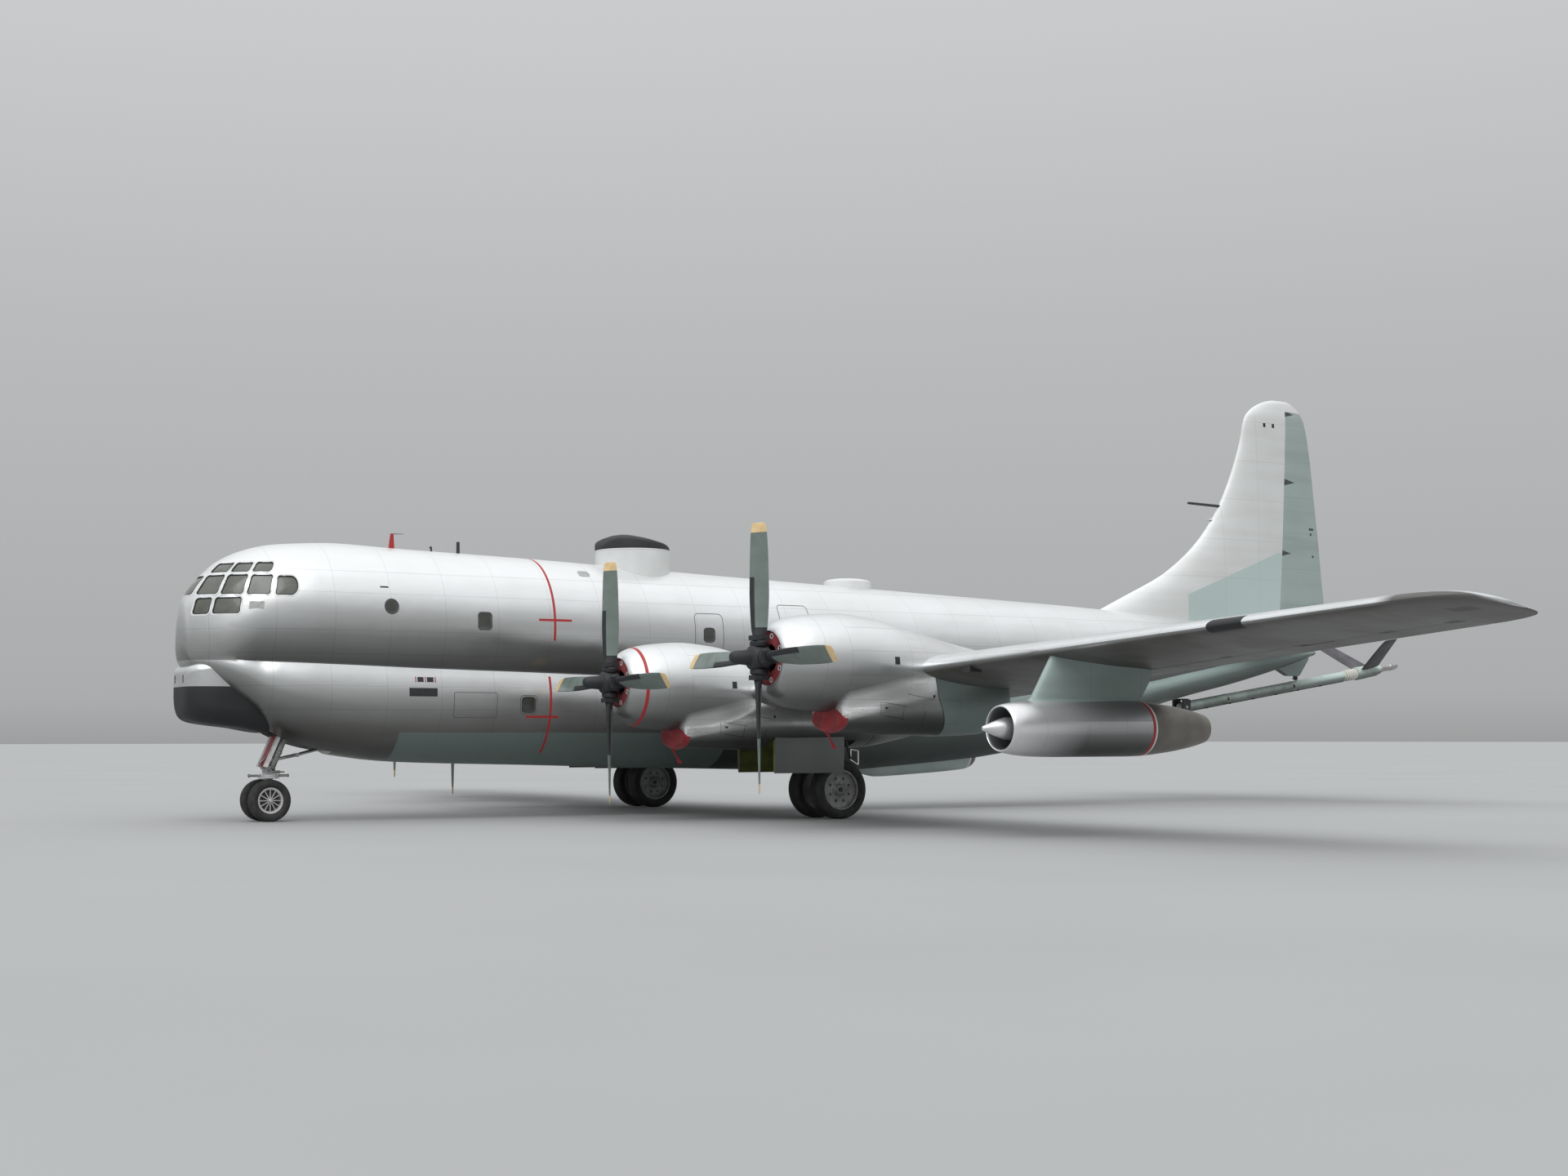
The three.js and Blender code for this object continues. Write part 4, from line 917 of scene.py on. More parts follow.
# %% [markdown]
# The crown carries small aerials: a red blade, a stub, a mast and a flat white dome. Each is a tapered foil
# or a turned form with a foot plate. They break up the bare skyline as on the real one. Small blank plates
# and the outlines of doors lie a little proud of the flanks, and a thin dark strip along each crease is
# painted shadow in the fold.

# %% Aerials and small fittings on the hull
def foil_half(share):
    a, b, c, d, e = 0.2969, -0.126, -0.3516, 0.2843, -0.1036
    return 5 * (a * np.sqrt(share) + b * share + c * share**2 + d * share**3 + e * share**4)


def foil(lead, trail, thickness, lift, steps=20):
    """A foil section from its leading to its trailing point, thick along lift."""
    lead, trail, lift = np.array(lead, float), np.array(trail, float), np.array(lift, float)
    turn = np.arange(-steps, steps)
    share = (1 - np.cos(np.pi * turn / steps)) / 2
    half = foil_half(share) * thickness * np.sign(turn)
    return lead + (trail - lead) * share[:, None] + lift * half[:, None]


def blade_aerial(foot, top, chord, top_chord, thickness):
    (x0, z0), (x1, z1) = foot, top
    rings = [foil((x0, 0, z0 - 60), (x0 + chord, 0, z0 - 60), thickness, (0, 1, 0), 10)]
    rings.append(foil((x0, 0, z0), (x0 + chord, 0, z0), thickness, (0, 1, 0), 10))
    rings.append(foil((x1, 0, z1), (x1 + top_chord, 0, z1), thickness * 0.6, (0, 1, 0), 10))
    return skin(rings)


red_paint = plain_finish("red_paint", RED, 0.45, 0.05, 4, (0.7, 0.7, 0.7), 0.3).done()
dark_metal = plain_finish("dark_metal", (0.05, 0.052, 0.055), 0.5, 0.6, 5, (1.5, 1.4, 1.3), 0.5).done()
aerial = body_from("blade_aerial", blade_aerial((4765, 6085), (4815, 6430), 150, 75, 40))
dress(aerial, "airframe", "dark_metal", red_paint)
tip = rod((4880, 0, 6425), (5150, 0, 6432), 9, 4)
masts = [rod((6470, 0, 6030), (6470, 0, 6310), 42, 38), rod((5810, 0, 6050), (5810, 0, 6132), 26, 18), tip]
masts.append(rod((5810, 0, 6132), (5780, 0, 6170), 30, 30))
dress(body_from("masts", *masts), "airframe", "dark_metal", dark_metal)
dome_profile = [
    (5400, 5), (5400, 640), (5745, 640), (5775, 625), (5815, 540), (5842, 380), (5855, 190), (5858, 5)
]
dome = body_from("crown_dome", turned(dome_profile, 64, "z", (17200, 0, 0)))
for vertex in dome.data.vertices:
    vertex.co.y *= 0.8
dress(dome, "airframe", "drum_white", drum_paint)


def side_plate(x, z, half_x, half_z, radius, side, thick=5):
    """A thin plate that lies on the hull's side."""
    outline = side_outline(x, z, half_x, half_z, radius)
    middle = outline.mean(axis=0)
    loops = [side_loop(outline, side, -8)]
    loops += [side_loop(middle + (outline - middle) * share, side, thick) for share in (1.0, 0.5, 0.03)]
    return skin(loops)


def finer(outline, step=60):
    """More points along an outline's straight parts, so that they follow the hull's curve."""
    points = []
    for a, b in zip(outline, np.roll(outline, -1, axis=0)):
        count = max(1, round(math.dist(a, b) / step))
        points += [a + (b - a) * i / count for i in range(count)]
    return np.array(points)


def side_line(outline, side, width=14, lift=3):
    """A thin raised band round an outline on the hull's side, such as a door's gap."""
    x, z, half_x, half_z, radius = outline
    rim = ((0, -6), (0, lift), (width, lift), (width, -6))
    return ring_band(
        [side_loop(finer(side_outline(x, z, half_x, half_z, radius, grow)), side, height)
        for grow, height in rim]
    )


PLATES = {
    "black_plates": [
        (5060, 2812, 330, 92, 6), (5001, 3089, 72, 54, 4), (5229, 3089, 77, 54, 4), (4100, 5085, 95, 16, 6)
    ],
    "red_ticks": [(4888, 3089, 11, 62, 4), (5115, 3089, 11, 62, 4), (5350, 3089, 11, 62, 4)],
    "oval_fittings": [(9185, 5600, 150, 70, 69)],
}
plate_grey = plain_finish("blank_plate_paint", (0.42, 0.42, 0.42), 0.5, 0.1, 9).done()
plate_black = plain_finish("black_plate_paint", BLACK, 0.5, 0.0, 9, (1.5, 1.5, 1.5)).done()
PLATE_FINISHES = {"black_plates": ("dark_metal", plate_black), "red_ticks": ("board_red", red_paint)}
for name, rows in PLATES.items():
    body = body_from(name, *[side_plate(*row, side) for row in rows for side in SIDES.values()])
    slot, finish = PLATE_FINISHES.get(name, ("silver_skin", plate_grey))
    dress(body, "airframe", slot, finish)
nose_plate = (43.0, 52.0, 4535, 4695, 8, 8)
nose_plates = []
for side in SIDES.values():
    outline = window_outline(nose_plate)
    middle = outline.mean(axis=0)
    shells = [[tuple(front_skin(a, z, side, lift)) for a, z in middle + (outline - middle) * share]
              for share, lift in ((1.0, -8), (1.0, 5), (0.5, 5), (0.03, 5))]
    nose_plates.append(skin(shells))
dress(body_from("nose_plates", *nose_plates), "airframe", "silver_skin", plate_grey)
OUTLINES = [
    (12175, 4050, 375, 670, 110), (6310, 2540, 510, 270, 30), (7600, 2555, 195, 200, 65),
    (14600, 4300, 420, 700, 90)
]
seam_dark = plain_finish("seam_dark", (0.13, 0.132, 0.135), 0.6, 0.2).done()
lines = body_from("door_outlines", *[side_line(row, side) for row in OUTLINES for side in SIDES.values()])
dress(lines, "airframe", "dark_metal", seam_dark)
# A thin dark strip along each crease: painted shadow in the fold.
crease_places = np.concatenate([np.linspace(33, 58, 30) ** 2, np.arange(3700, 32500, 400)])
crease_shadows = []
for side in SIDES.values():
    rings = []
    for x, (crown, crease, keel, half) in zip(crease_places, hull_shape(crease_places)):
        fold = min(1.0, (x - 300) / 1100)
        y = side * (half * math.cos(CREASE_ABOVE * fold) + 2)
        size = 13 * min(1.0, (x - 1050) / 800)
        rings.append([(x, y - side * 12, crease + size), (x, y + side * 7, crease + size),
                      (x, y + side * 7, crease - size), (x, y - side * 12, crease - size)])
    crease_shadows.append(skin(rings))
dress(body_from("crease_shadow_strips", *crease_shadows), "airframe", "dark_metal", seam_dark)
print("fittings on the hull", len(lines.data.polygons), "faces of outlines")

# %% [markdown]
# Each nacelle is a round cowl over the engine with an oval duct slung below it, and the sheet between them
# is beaten into a deep hollow. The real one is hammered over a former and welded. Two plain ovals would
# meet in a sharp groove, so each ring is found from a smooth blend of the two: a point is inside when the
# blend of its distances from both ovals is negative, and the last crossing outwards along each ray is the
# skin.

# %% Nacelles: shape
INBOARD_OUT = 4345
SCOOP_DROP = -1150
ENGINES = [
    # number, side, aft, out, up, inboard
    (1, "left", 8620, 9660, 3320, False),
    (2, "left", 8160, INBOARD_OUT, 2980, True),
    (3, "right", 8160, INBOARD_OUT, 2980, True),
    (4, "right", 8620, 9660, 3320, False),
]
COWL = [
    # behind the propeller, middle, half height, half width
    (193, -50, 560, 548),
    (215, -60, 640, 600),
    (330, -75, 755, 700),
    (560, -80, 850, 800),
    (1050, -75, 925, 900),
    (1700, -70, 960, 945),
    (2400, -115, 945, 950),
    (3100, -180, 860, 900),
    (4000, -260, 720, 740),
    (4800, -300, 600, 520),
    (5500, -300, 430, 260),
    (5900, -300, 200, 60),
]
OUTER_DUCT = [
    (1535, -1150, 200, 485),
    (1575, -1150, 252, 542),
    (2000, -1110, 300, 610),
    (2600, -1030, 430, 680),
    (3400, -960, 510, 670),
    (4300, -930, 560, 640),
    (5000, -900, 560, 600),
    (5400, -850, 500, 540),
    (5650, -760, 380, 430),
    (5800, -640, 180, 220),
]
INNER_DUCT = [
    (1535, -1150, 200, 485),
    (1575, -1150, 252, 542),
    (2000, -1110, 300, 610),
    (2600, -1000, 420, 760),
    (3300, -880, 560, 900),
    (4200, -850, 600, 950),
    (5600, -830, 590, 950),
    (6380, -790, 600, 900),
    (7200, -720, 540, 640),
    (7800, -640, 480, 400),
    (7940, -590, 360, 270),
    (8000, -560, 200, 140),
]
BLEND = 95
RAYS = 96
REACH = np.linspace(0, 2300, 231)


def outside_oval(shape, y, z):
    middle, high, wide = shape
    return (np.hypot(y / wide, (z - middle) / high) - 1) * min(high, wide)


def blended_ring(back, shapes, centre):
    angles = np.linspace(0, 2 * math.pi, RAYS, endpoint=False)[:, None]
    y, z = REACH * np.cos(angles), centre + REACH * np.sin(angles)
    blend = -BLEND * np.log(
        sum(np.exp(np.clip(-outside_oval(shape, y, z) / BLEND, -40, 40)) for shape in shapes)
    )
    if len(shapes) == 1:
        blend = outside_oval(shapes[0], y, z)
    last = len(REACH) - 2 - np.argmax((blend <= 0)[:, -2::-1], axis=1)
    rows = np.arange(RAYS)
    inside, beyond = blend[rows, last], blend[rows, last + 1]
    radius = REACH[last] + (REACH[last + 1] - REACH[last]) * inside / (inside - beyond)
    return np.stack(
        [np.full(RAYS, back), radius * np.cos(angles[:, 0]), centre + radius * np.sin(angles[:, 0])], 1
    )


def nacelle_rings(duct):
    rooted = [(math.sqrt(back - 193), *shape) for back, *shape in COWL]
    duct_rooted = [(math.sqrt(back - 1535), *shape) for back, *shape in duct]
    end = duct[-1][0] if duct is INNER_DUCT else COWL[-1][0]
    backs = np.concatenate(
        [193 + np.linspace(0, 36, 30) ** 2, [1525, 1535, 1545, 1560], np.arange(1600, end, 90), [end]]
    )
    rings = []
    for back in backs:
        shapes = []
        if back <= COWL[-1][0]:
            shapes.append(follow(rooted, [math.sqrt(back - 193)])[0])
        if duct[0][0] <= back <= duct[-1][0]:
            shapes.append(follow(duct_rooted, [math.sqrt(back - 1535)])[0])
        centre = np.interp(back, [0, 3200, 4800], [-480, -480, -560 if duct is INNER_DUCT else -480])
        rings.append(blended_ring(back, shapes, centre))
    return rings


COWL_BORE = [(150, 525), (420, 530), (700, 700), (2620, 700)]
TAIL_CONE = 14440
WHEEL_WELL = ((11720, 13990), 700, 2120)


def at_engine(shape, x, y, z):
    points, faces = shape
    return np.asarray(points, float) + [x, y, z], faces


print("a nacelle has", len(nacelle_rings(INNER_DUCT)) * RAYS, "points")

# %% [markdown]
# The cowls are painted like the hull, with a painted highlight along the hollow between cowl and duct and
# painted shade towards their bottoms. Four to six latched panels wrap each one, and oil and exhaust have
# stained them aft of the cooling gills. The seams are drawn from the propeller backwards, so the paint knows
# its own engine's place.

# %% Nacelles: paint
def cowl_paint(name, striped):
    finish = weathered_and_shaded_paint(name, dents=3.2, local=True)
    # Painted shade: darker towards the bottom of the nacelle.
    low = finish.spread(finish.z, -0.6, -1.4)
    finish.tint(low, (0.3, 0.3, 0.295))
    # Painted highlight: a near-white, glossy band along the hollow between cowl and duct, where the sky's
    # reflection falls.
    rise = finish.math(
        "SUBTRACT", finish.z, finish.math("MULTIPLY", finish.math("SUBTRACT", finish.x, 1.68), 0.237)
    )
    hollow = finish.math("ABSOLUTE", finish.math("ADD", rise, 0.9))
    painted_hollow_highlight = finish.both(
        finish.spread(hollow, 0.3, 0.12), finish.spread(finish.x, 1.45, 1.6),
        finish.spread(finish.x, 3.9, 3.5)
    )
    finish.paint(painted_hollow_highlight, (0.97, 0.97, 0.96), metallic=0.92, roughness=0.22)
    stain = finish.math(
        "MULTIPLY", finish.spread(finish.noise(1.6, 5, (0.3, 1, 1)), 0.45, 0.7),
        finish.spread(finish.x, 2.4, 4)
    )
    finish.tint(finish.math("MULTIPLY", stain, 0.4), (0.5, 0.47, 0.43))
    across = finish.math("ABSOLUTE", finish.y)
    if striped:
        finish.paint(finish.within(finish.x, 0.48, 0.55), RED, 0.1, 0.45)
    else:
        slant = finish.math(
            "ADD", finish.x, finish.math("MULTIPLY", finish.math("ADD", finish.z, 1.48), 0.45)
        )
        under = finish.math("LESS_THAN", finish.z, -0.2)
        aft = finish.both(finish.spread(slant, 4.015, 4.025), under)
        finish.paint(aft, SAGE, 0.2, 0.5)
        # Painted shade: the sage aft part is darkened as it lies in the wing's shadow.
        finish.tint(aft, (0.62, 0.63, 0.62))
        finish.tint(finish.both(finish.within(slant, 4.01, 4.035), under), (0.3, 0.3, 0.3))
    flank = finish.both(finish.math("GREATER_THAN", across, 0.3), finish.within(finish.x, 2.2, 3.7))
    marks = finish.either(
        finish.both(finish.within(finish.x, 2.48, 2.6), finish.within(finish.z, -0.12, 0.03)),
        finish.both(finish.within(finish.x, 3.54, 3.59), finish.within(finish.z, -0.75, -0.69)),
        finish.both(finish.within(finish.x, 2.42, 2.48), finish.within(finish.z, -0.97, -0.93)),
    )
    finish.paint(finish.both(marks, flank), BLACK, 0.0, 0.6)
    gills = finish.both(
        finish.lines(finish.math("ARCTAN2", finish.y, finish.z), 0.262, 0.012),
        finish.within(finish.x, 2.95, 3.3), finish.math("GREATER_THAN", finish.z, -0.6),
    )
    rings = [finish.within(finish.x, back - 0.006, back + 0.006) for back in (0.98, 1.52, 2.92, 3.32, 4.25)]
    doors = finish.both(
        finish.lines(finish.z, 0.46, 0.013, 0.13), finish.within(finish.x, 1.52, 4.25),
        finish.math("GREATER_THAN", across, 0.35),
    )
    hatch_level = finish.math(
        "ADD", finish.z, finish.math("MULTIPLY", finish.math("SUBTRACT", finish.x, 2.93), 0.15)
    )
    hatch = finish.both(finish.either(
        finish.both(finish.within(hatch_level, -0.69, -0.675), finish.within(finish.x, 2.9, 3.55)),
        finish.both(finish.within(hatch_level, -0.93, -0.915), finish.within(finish.x, 2.38, 2.9)),
        finish.both(finish.within(hatch_level, -1.18, -1.165), finish.within(finish.x, 2.38, 2.9)),
        finish.both(finish.lines(finish.x, 0.52, 0.014, 0.25), finish.within(hatch_level, -1.18, -0.92)),
    ), flank)
    finish.tint(hatch, (0.45, 0.45, 0.45))
    add_seams(finish, gills, doors, *rings)
    return finish.done()


cowl_paints = {True: cowl_paint("cowl_paint_inner", True), False: cowl_paint("cowl_paint_outer", False)}

# %% [markdown]
# The cowls are opened in front, for the scoop below and, on the inner two, for the wheels. The inner
# nacelle's tail behind the wing moves with the flap, so the same rings are cut at that joint into a fixed
# and a moving part. Everything is made round the propeller's middle and then set in its place, so all four
# share their code.

# %% Nacelles: made, cut and set in place
def local_body(name, *parts):
    """A body made round its own origin, which is moved to its place on the aircraft afterwards."""
    return body_from(
        name, *[(np.asarray(points, float) / MM_PER_METRE, faces) for points, faces in parts], scale=False
    )


def set_at(made, x, y, z):
    made.matrix_world = Matrix.Translation(Vector(model_space((x, y, z))))
    return made


def duct_mouth():
    angles = np.linspace(0, 2 * math.pi, 48, endpoint=False)
    return skin([
        [(back, wide * math.cos(a), SCOOP_DROP + high * math.sin(a)) for a in angles]
        for back, high, wide in ((1450, 186, 466), (1900, 186, 466))
    ])


def nacelle_body(name, inboard, well_from):
    nacelle = local_body(name, skin(nacelle_rings(INNER_DUCT if inboard else OUTER_DUCT)))
    cut(nacelle, local_body("bore", turned([(100, 5)] + COWL_BORE + [(2620, 5)], 64)))
    cut(nacelle, local_body("mouth", duct_mouth()))
    if inboard:
        (front, back), half, top = WHEEL_WELL
        well = block((front - well_from[0], back - well_from[0]), (-half, half), (-4000, top - well_from[1]))
        cut(nacelle, local_body("well", well))
    return nacelle


def half_of(made, low, high):
    """Keeps the part of a local body between two distances behind the propeller."""
    return cut(made, local_body("keep", block((low, high), (-3000, 3000), (-3000, 3000))), "INTERSECT")


for number, side_name, x, out, z, inboard in ENGINES:
    place = (x, SIDES[side_name] * out, z)
    nacelle = nacelle_body(f"nacelle_{number}_skin", inboard, (x, z))
    if inboard:
        nacelle = half_of(nacelle, -100, TAIL_CONE - 16 - x)
    set_at(nacelle, *place)
    dress(nacelle, "airframe", "silver_skin", cowl_paints[inboard], replaces=(f"nacelle_{number}",))
    print(nacelle.name, len(nacelle.data.polygons), "faces")

# %% [markdown]
# A parked aircraft's openings are blanked against birds and rain. A red foam plug ringed with white eyelets
# fills each cowl behind the propeller, and a red cloth cover is drawn over each scoop, with its streamer
# hanging free. The plug is a turned ring with real holes. The cover is a sheet drawn over the scoop's lip,
# puckered at its edge, with soft dents pressed in at random from a fixed seed.

# %% Covers on the engines' openings
def plug_cloth(name, color):
    finish = Finish(name, color, 0.85, 0.0, local=True)
    weave = finish.math("MULTIPLY", finish.lines(finish.y, 0.02, 0.009), finish.lines(finish.z, 0.02, 0.009))
    finish.tint(finish.spread(finish.noise(3, 4), 0.35, 0.7), (0.55, 0.5, 0.5))
    finish.emboss(weave, 0.6)
    finish.emboss(finish.noise(9, 3), 2.0)
    finish.shader.inputs["Sheen Weight"].default_value = 0.2
    return finish.done()


red_cloth = plug_cloth("red_cloth", (0.36, 0.022, 0.03))
white_ring = plain_finish("eyelet_white", WHITE, 0.5, 0.0, 6).done()
HOLES = [
    (0, 425, 42), (52, 425, 42), (104, 425, 42), (156, 425, 42), (208, 425, 42), (260, 425, 42),
    (308, 425, 42)
]


def blanking_plug():
    profile = [(330, 262), (250, 262), (232, 285), (226, 400), (236, 500), (258, 522), (335, 522)]
    plug = local_body("plug", ring_band_turned(profile, 96))
    holes = []
    for bearing, reach, radius in HOLES:
        angle = math.radians(bearing)
        holes.append(
            turned(
                [(150, radius), (420, radius)], 24, "x", (0, reach * math.cos(angle), reach * math.sin(angle))
            )
        )
    return cut(plug, local_body("plug_holes", *holes))


def ring_band_turned(profile, segments):
    angles = np.linspace(0, 2 * math.pi, segments, endpoint=False)
    return ring_band(
        [[(along, radius * math.cos(a), radius * math.sin(a)) for a in angles] for along, radius in profile]
    )


def eyelets():
    rims = []
    for bearing, reach, radius in HOLES:
        angle = math.radians(bearing)
        middle = (0, reach * math.cos(angle), reach * math.sin(angle))
        profile = [
            (222, radius - 6), (218, radius + 2), (222, radius + 13), (236, radius + 13), (236, radius - 6)
        ]
        rims.append(at_engine(ring_band_turned(profile, 24), *middle))
    return rims


def scoop_cover():
    """A cloth sheet over the duct's mouth: rings from its middle out to the lip and back along it."""
    rows = [
        # behind the propeller, half height, half width
        (1506, 4, 10), (1508, 60, 150), (1512, 130, 320), (1510, 175, 430), (1508, 195, 478),
        (1512, 212, 500), (1530, 236, 526),
        (1555, 254, 548), (1580, 264, 560), (1640, 276, 572), (1655, 272, 566),
    ]
    rings = []
    random = np.random.default_rng(7)
    angles = np.linspace(0, 2 * math.pi, 96, endpoint=False)
    for back, high, wide in rows:
        flat = min(1.0, high / 195)
        pucker = 1 + 0.012 * (back > 1560) * np.sin(angles * 24)
        sag = 14 * np.sin(angles * 2 + 1) * flat * (1 - flat) * 4
        x = back + sag + random.normal(0, 1.6, len(angles)) * (wide > 100)
        rings.append(
            np.stack([x, wide * pucker * np.cos(angles), SCOOP_DROP + high * pucker * np.sin(angles)], axis=1)
        )
    points = np.concatenate(rings)
    faces = []
    for a in range(len(rows) - 1):
        for i in range(96):
            j = (i + 1) % 96
            faces.append((a * 96 + i, a * 96 + j, (a + 1) * 96 + j, (a + 1) * 96 + i))
    faces.append(tuple(range(96))[::-1])
    return points, faces


def streamer():
    rows = []
    for step in range(13):
        share = step / 12
        x = 1530 + 190 * share**1.1
        z = -1400 - 330 * share
        twist = 0.5 * math.sin(share * 4)
        across, turn = 42 * math.cos(twist), 42 * math.sin(twist)
        rows.append(
            [
                (x + across, turn - 3, z), (x - across, -turn - 3, z), (x - across, 3 - turn, z),
                (x + across, turn + 3, z)
            ]
        )
    return skin(rows)


for number, side_name, x, out, z, inboard in ENGINES:
    place = (x, SIDES[side_name] * out, z)
    plug = blanking_plug()
    plug.name = f"blanking_plug_{number}"
    dress(set_at(plug, *place), "airframe", "board_red", red_cloth)
    rims = local_body(f"plug_eyelets_{number}", *eyelets())
    dress(set_at(rims, *place), "airframe", "board_red", white_ring)
    cover_mesh = bpy.data.meshes.new("scoop_cover")
    cover_points, cover_faces = scoop_cover()
    cover_mesh.from_pydata((cover_points / MM_PER_METRE).tolist(), [], cover_faces)
    cover = link(bpy.data.objects.new(f"scoop_cover_{number}", cover_mesh))
    dress(set_at(cover, *place), "airframe", "board_red", red_cloth)
    cover_area = sum(face.area for face in cover_mesh.polygons)
    tail = local_body(f"cover_streamer_{number}", streamer())
    dress(set_at(tail, *place), "airframe", "board_red", red_cloth)
    print(cover.name, "cloth area in square metres", round(cover_area, 4))

# %% [markdown]
# A propeller here has a black hub with a dome, four thick cuffs that hold the blades, and hollow steel
# blades with black heated boots on their leading edges and orange tips. Each blade turns its face from
# steep at the hub to shallow at the tip. One mesh serves all four, and its paints are chosen face by face
# from how far out each face is and how near to the leading edge.

# %% Propellers
BLADE = [
    # out, chord, thickness, pitch from the plane of turning, sweep of the leading edge's share
    (150, 190, 190, 62),
    (300, 200, 185, 60),
    (400, 232, 170, 55),
    (440, 262, 150, 53),
    (520, 300, 118, 50),
    (800, 352, 92, 45),
    (1300, 398, 72, 38),
    (1900, 392, 50, 32),
    (2200, 376, 40, 30),
    (2450, 340, 28, 28.5),
    (2545, 300, 20, 28),
    (2575, 235, 12, 28),
    (2581, 150, 6, 28),
]
BLADE_STEPS = 14


def blade_rings():
    places = np.concatenate([np.linspace(150, 2450, 44), [2500, 2545, 2565, 2576, 2581]])
    rings = []
    for out, (chord, thick, pitch) in zip(places, follow(BLADE, places)):
        angle = math.radians(pitch)
        along = np.array([math.sin(angle), -math.cos(angle), 0]) * chord
        lift = (math.cos(angle), math.sin(angle), 0)
        rings.append(
            foil(
                np.array([0, 0, out]) - 0.45 * along, np.array([0, 0, out]) + 0.55 * along, thick, lift,
                BLADE_STEPS
            )
        )
    return rings


def blade_parts(turn):
    rings = blade_rings()
    spin = np.array(Matrix.Rotation(turn, 3, "X"))
    points, faces = skin([ring @ spin.T for ring in rings])
    return points, faces


HUB_PROFILE = [
    (-622, 5), (-618, 60), (-604, 88), (-560, 112), (-500, 128), (-330, 140), (-225, 150), (-205, 172),
    (-190, 205),
    (-165, 228), (-60, 240), (60, 240), (150, 232), (172, 205), (180, 140), (455, 130), (455, 5),
]


def clamp(turn):
    spin = np.array(Matrix.Rotation(turn, 3, "X"))
    points, faces = turned(
        [
            (215, 158), (235, 168), (300, 168), (318, 150), (330, 120), (345, 120), (352, 134), (392, 134),
            (400, 110)
        ],
        32, "z"
    )
    shoulder_points, shoulder_faces = block((-150, 150), (-118, 118), (330, 425))
    return [(points @ spin.T, faces), (np.asarray(shoulder_points, float) @ spin.T, shoulder_faces)]


TIP_FROM, CUFF_TO = 2385, 560
BOOT_TO, BOOT_SHARE = 1520, 0.3
propeller_paints = [
    plain_finish(
        "blade_grey_green", (0.20, 0.245, 0.225), 0.48, 0.15, 2.5, (0.75, 0.76, 0.74), 0.3, local=True
    ).done(),
    plain_finish("boot_black", BLACK, 0.62, 0.0, 5, (1.7, 1.7, 1.7), 0.5, local=True).done(),
    plain_finish("tip_orange", (0.86, 0.64, 0.34), 0.5, 0.0, 5, (0.82, 0.8, 0.76), 0.3, local=True).done(),
]
parts = []
for quarter in range(4):
    parts.append(blade_parts(quarter * math.pi / 2))
parts.append(turned(HUB_PROFILE, 64))
for quarter in range(4):
    parts += clamp(quarter * math.pi / 2)
propeller = local_body("propeller", *parts)
for face in propeller.data.polygons:
    x, y, z = face.center * MM_PER_METRE
    out = max(abs(y), abs(z))
    if out > TIP_FROM:
        face.material_index = 2
    elif out < CUFF_TO:
        face.material_index = 1
    else:
        chord, _, pitch = follow(BLADE, [out])[0]
        angle = math.radians(pitch)
        spin = Matrix.Rotation(-math.radians(90) * round(math.atan2(-y, z) / math.radians(90)), 3, "X")
        local_x, local_y, _ = spin @ Vector((x, y, z))
        share = (local_x * math.sin(angle) - local_y * math.cos(angle)) / chord + 0.45
        face.material_index = 1 if share < BOOT_SHARE and out < BOOT_TO else 0
smooth(propeller, 40)
for material in propeller_paints:
    propeller.data.materials.append(material)
for number, side_name, x, out, z, inboard in ENGINES:
    one = propeller if number == 1 else link(bpy.data.objects.new("propeller", propeller.data))
    one.name = f"propeller_{number}_blades"
    set_at(one, x, SIDES[side_name] * out, z)
    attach(one, f"propeller_{number}")
    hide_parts(f"propeller_{number}")
print("a propeller has", len(propeller.data.polygons), "faces")


# %% [markdown]
# The wings are straight tapered foils, thick at the root, with a rounded tip. A real one is a box of spars
# and ribs in riveted sheet. The section is the classic symmetrical one, drawn between a leading and a
# trailing point at each distance out, and the tip closes over the last metre by shrinking about its middle.

# %% Wings: shape
HALF_SPAN = 21525
TIP_ROUNDING = [
    # in from the tip, the shares of the chord where the section starts and ends, thickness left
    (0, 0.5, 0.78, 0.25), (12, 0.42, 0.84, 0.35), (40, 0.33, 0.89, 0.48), (90, 0.25, 0.92, 0.6),
    (170, 0.175, 0.95, 0.72),
    (300, 0.105, 0.97, 0.83), (450, 0.06, 0.985, 0.91), (620, 0.03, 0.993, 0.96), (800, 0.01, 1, 0.99),
    (1000, 0, 1, 1),
    (30000, 0, 1, 1),
]
CAMBER, CAMBER_AT = 0.026, 0.3
WING_STATIONS = [1000, 2500, 4345, 7000, 9660, 13100, 15000, 16800, 18600, 20000, 20375]


def wing_at(out):
    share = out / HALF_SPAN
    chord = 5180 + (2260 - 5180) * share
    thick = chord * (0.185 + (0.11 - 0.185) * share)
    return 10474 + 0.125 * out, chord, 2430 + 0.069 * out, 1990 + 0.077 * out, thick


def camber_at(share):
    """How far the section's middle line is bent up, as a share of the chord."""
    if share < CAMBER_AT:
        return CAMBER / CAMBER_AT**2 * (2 * CAMBER_AT * share - share**2)
    return CAMBER / (1 - CAMBER_AT) ** 2 * (1 - 2 * CAMBER_AT + 2 * CAMBER_AT * share - share**2)


def wing_point(side, out, share):
    nose_x, chord, nose_z, tail_z, _ = wing_at(out)
    return np.array(
        [nose_x + chord * share, side * out, nose_z + (tail_z - nose_z) * share + chord * camber_at(share)]
    )


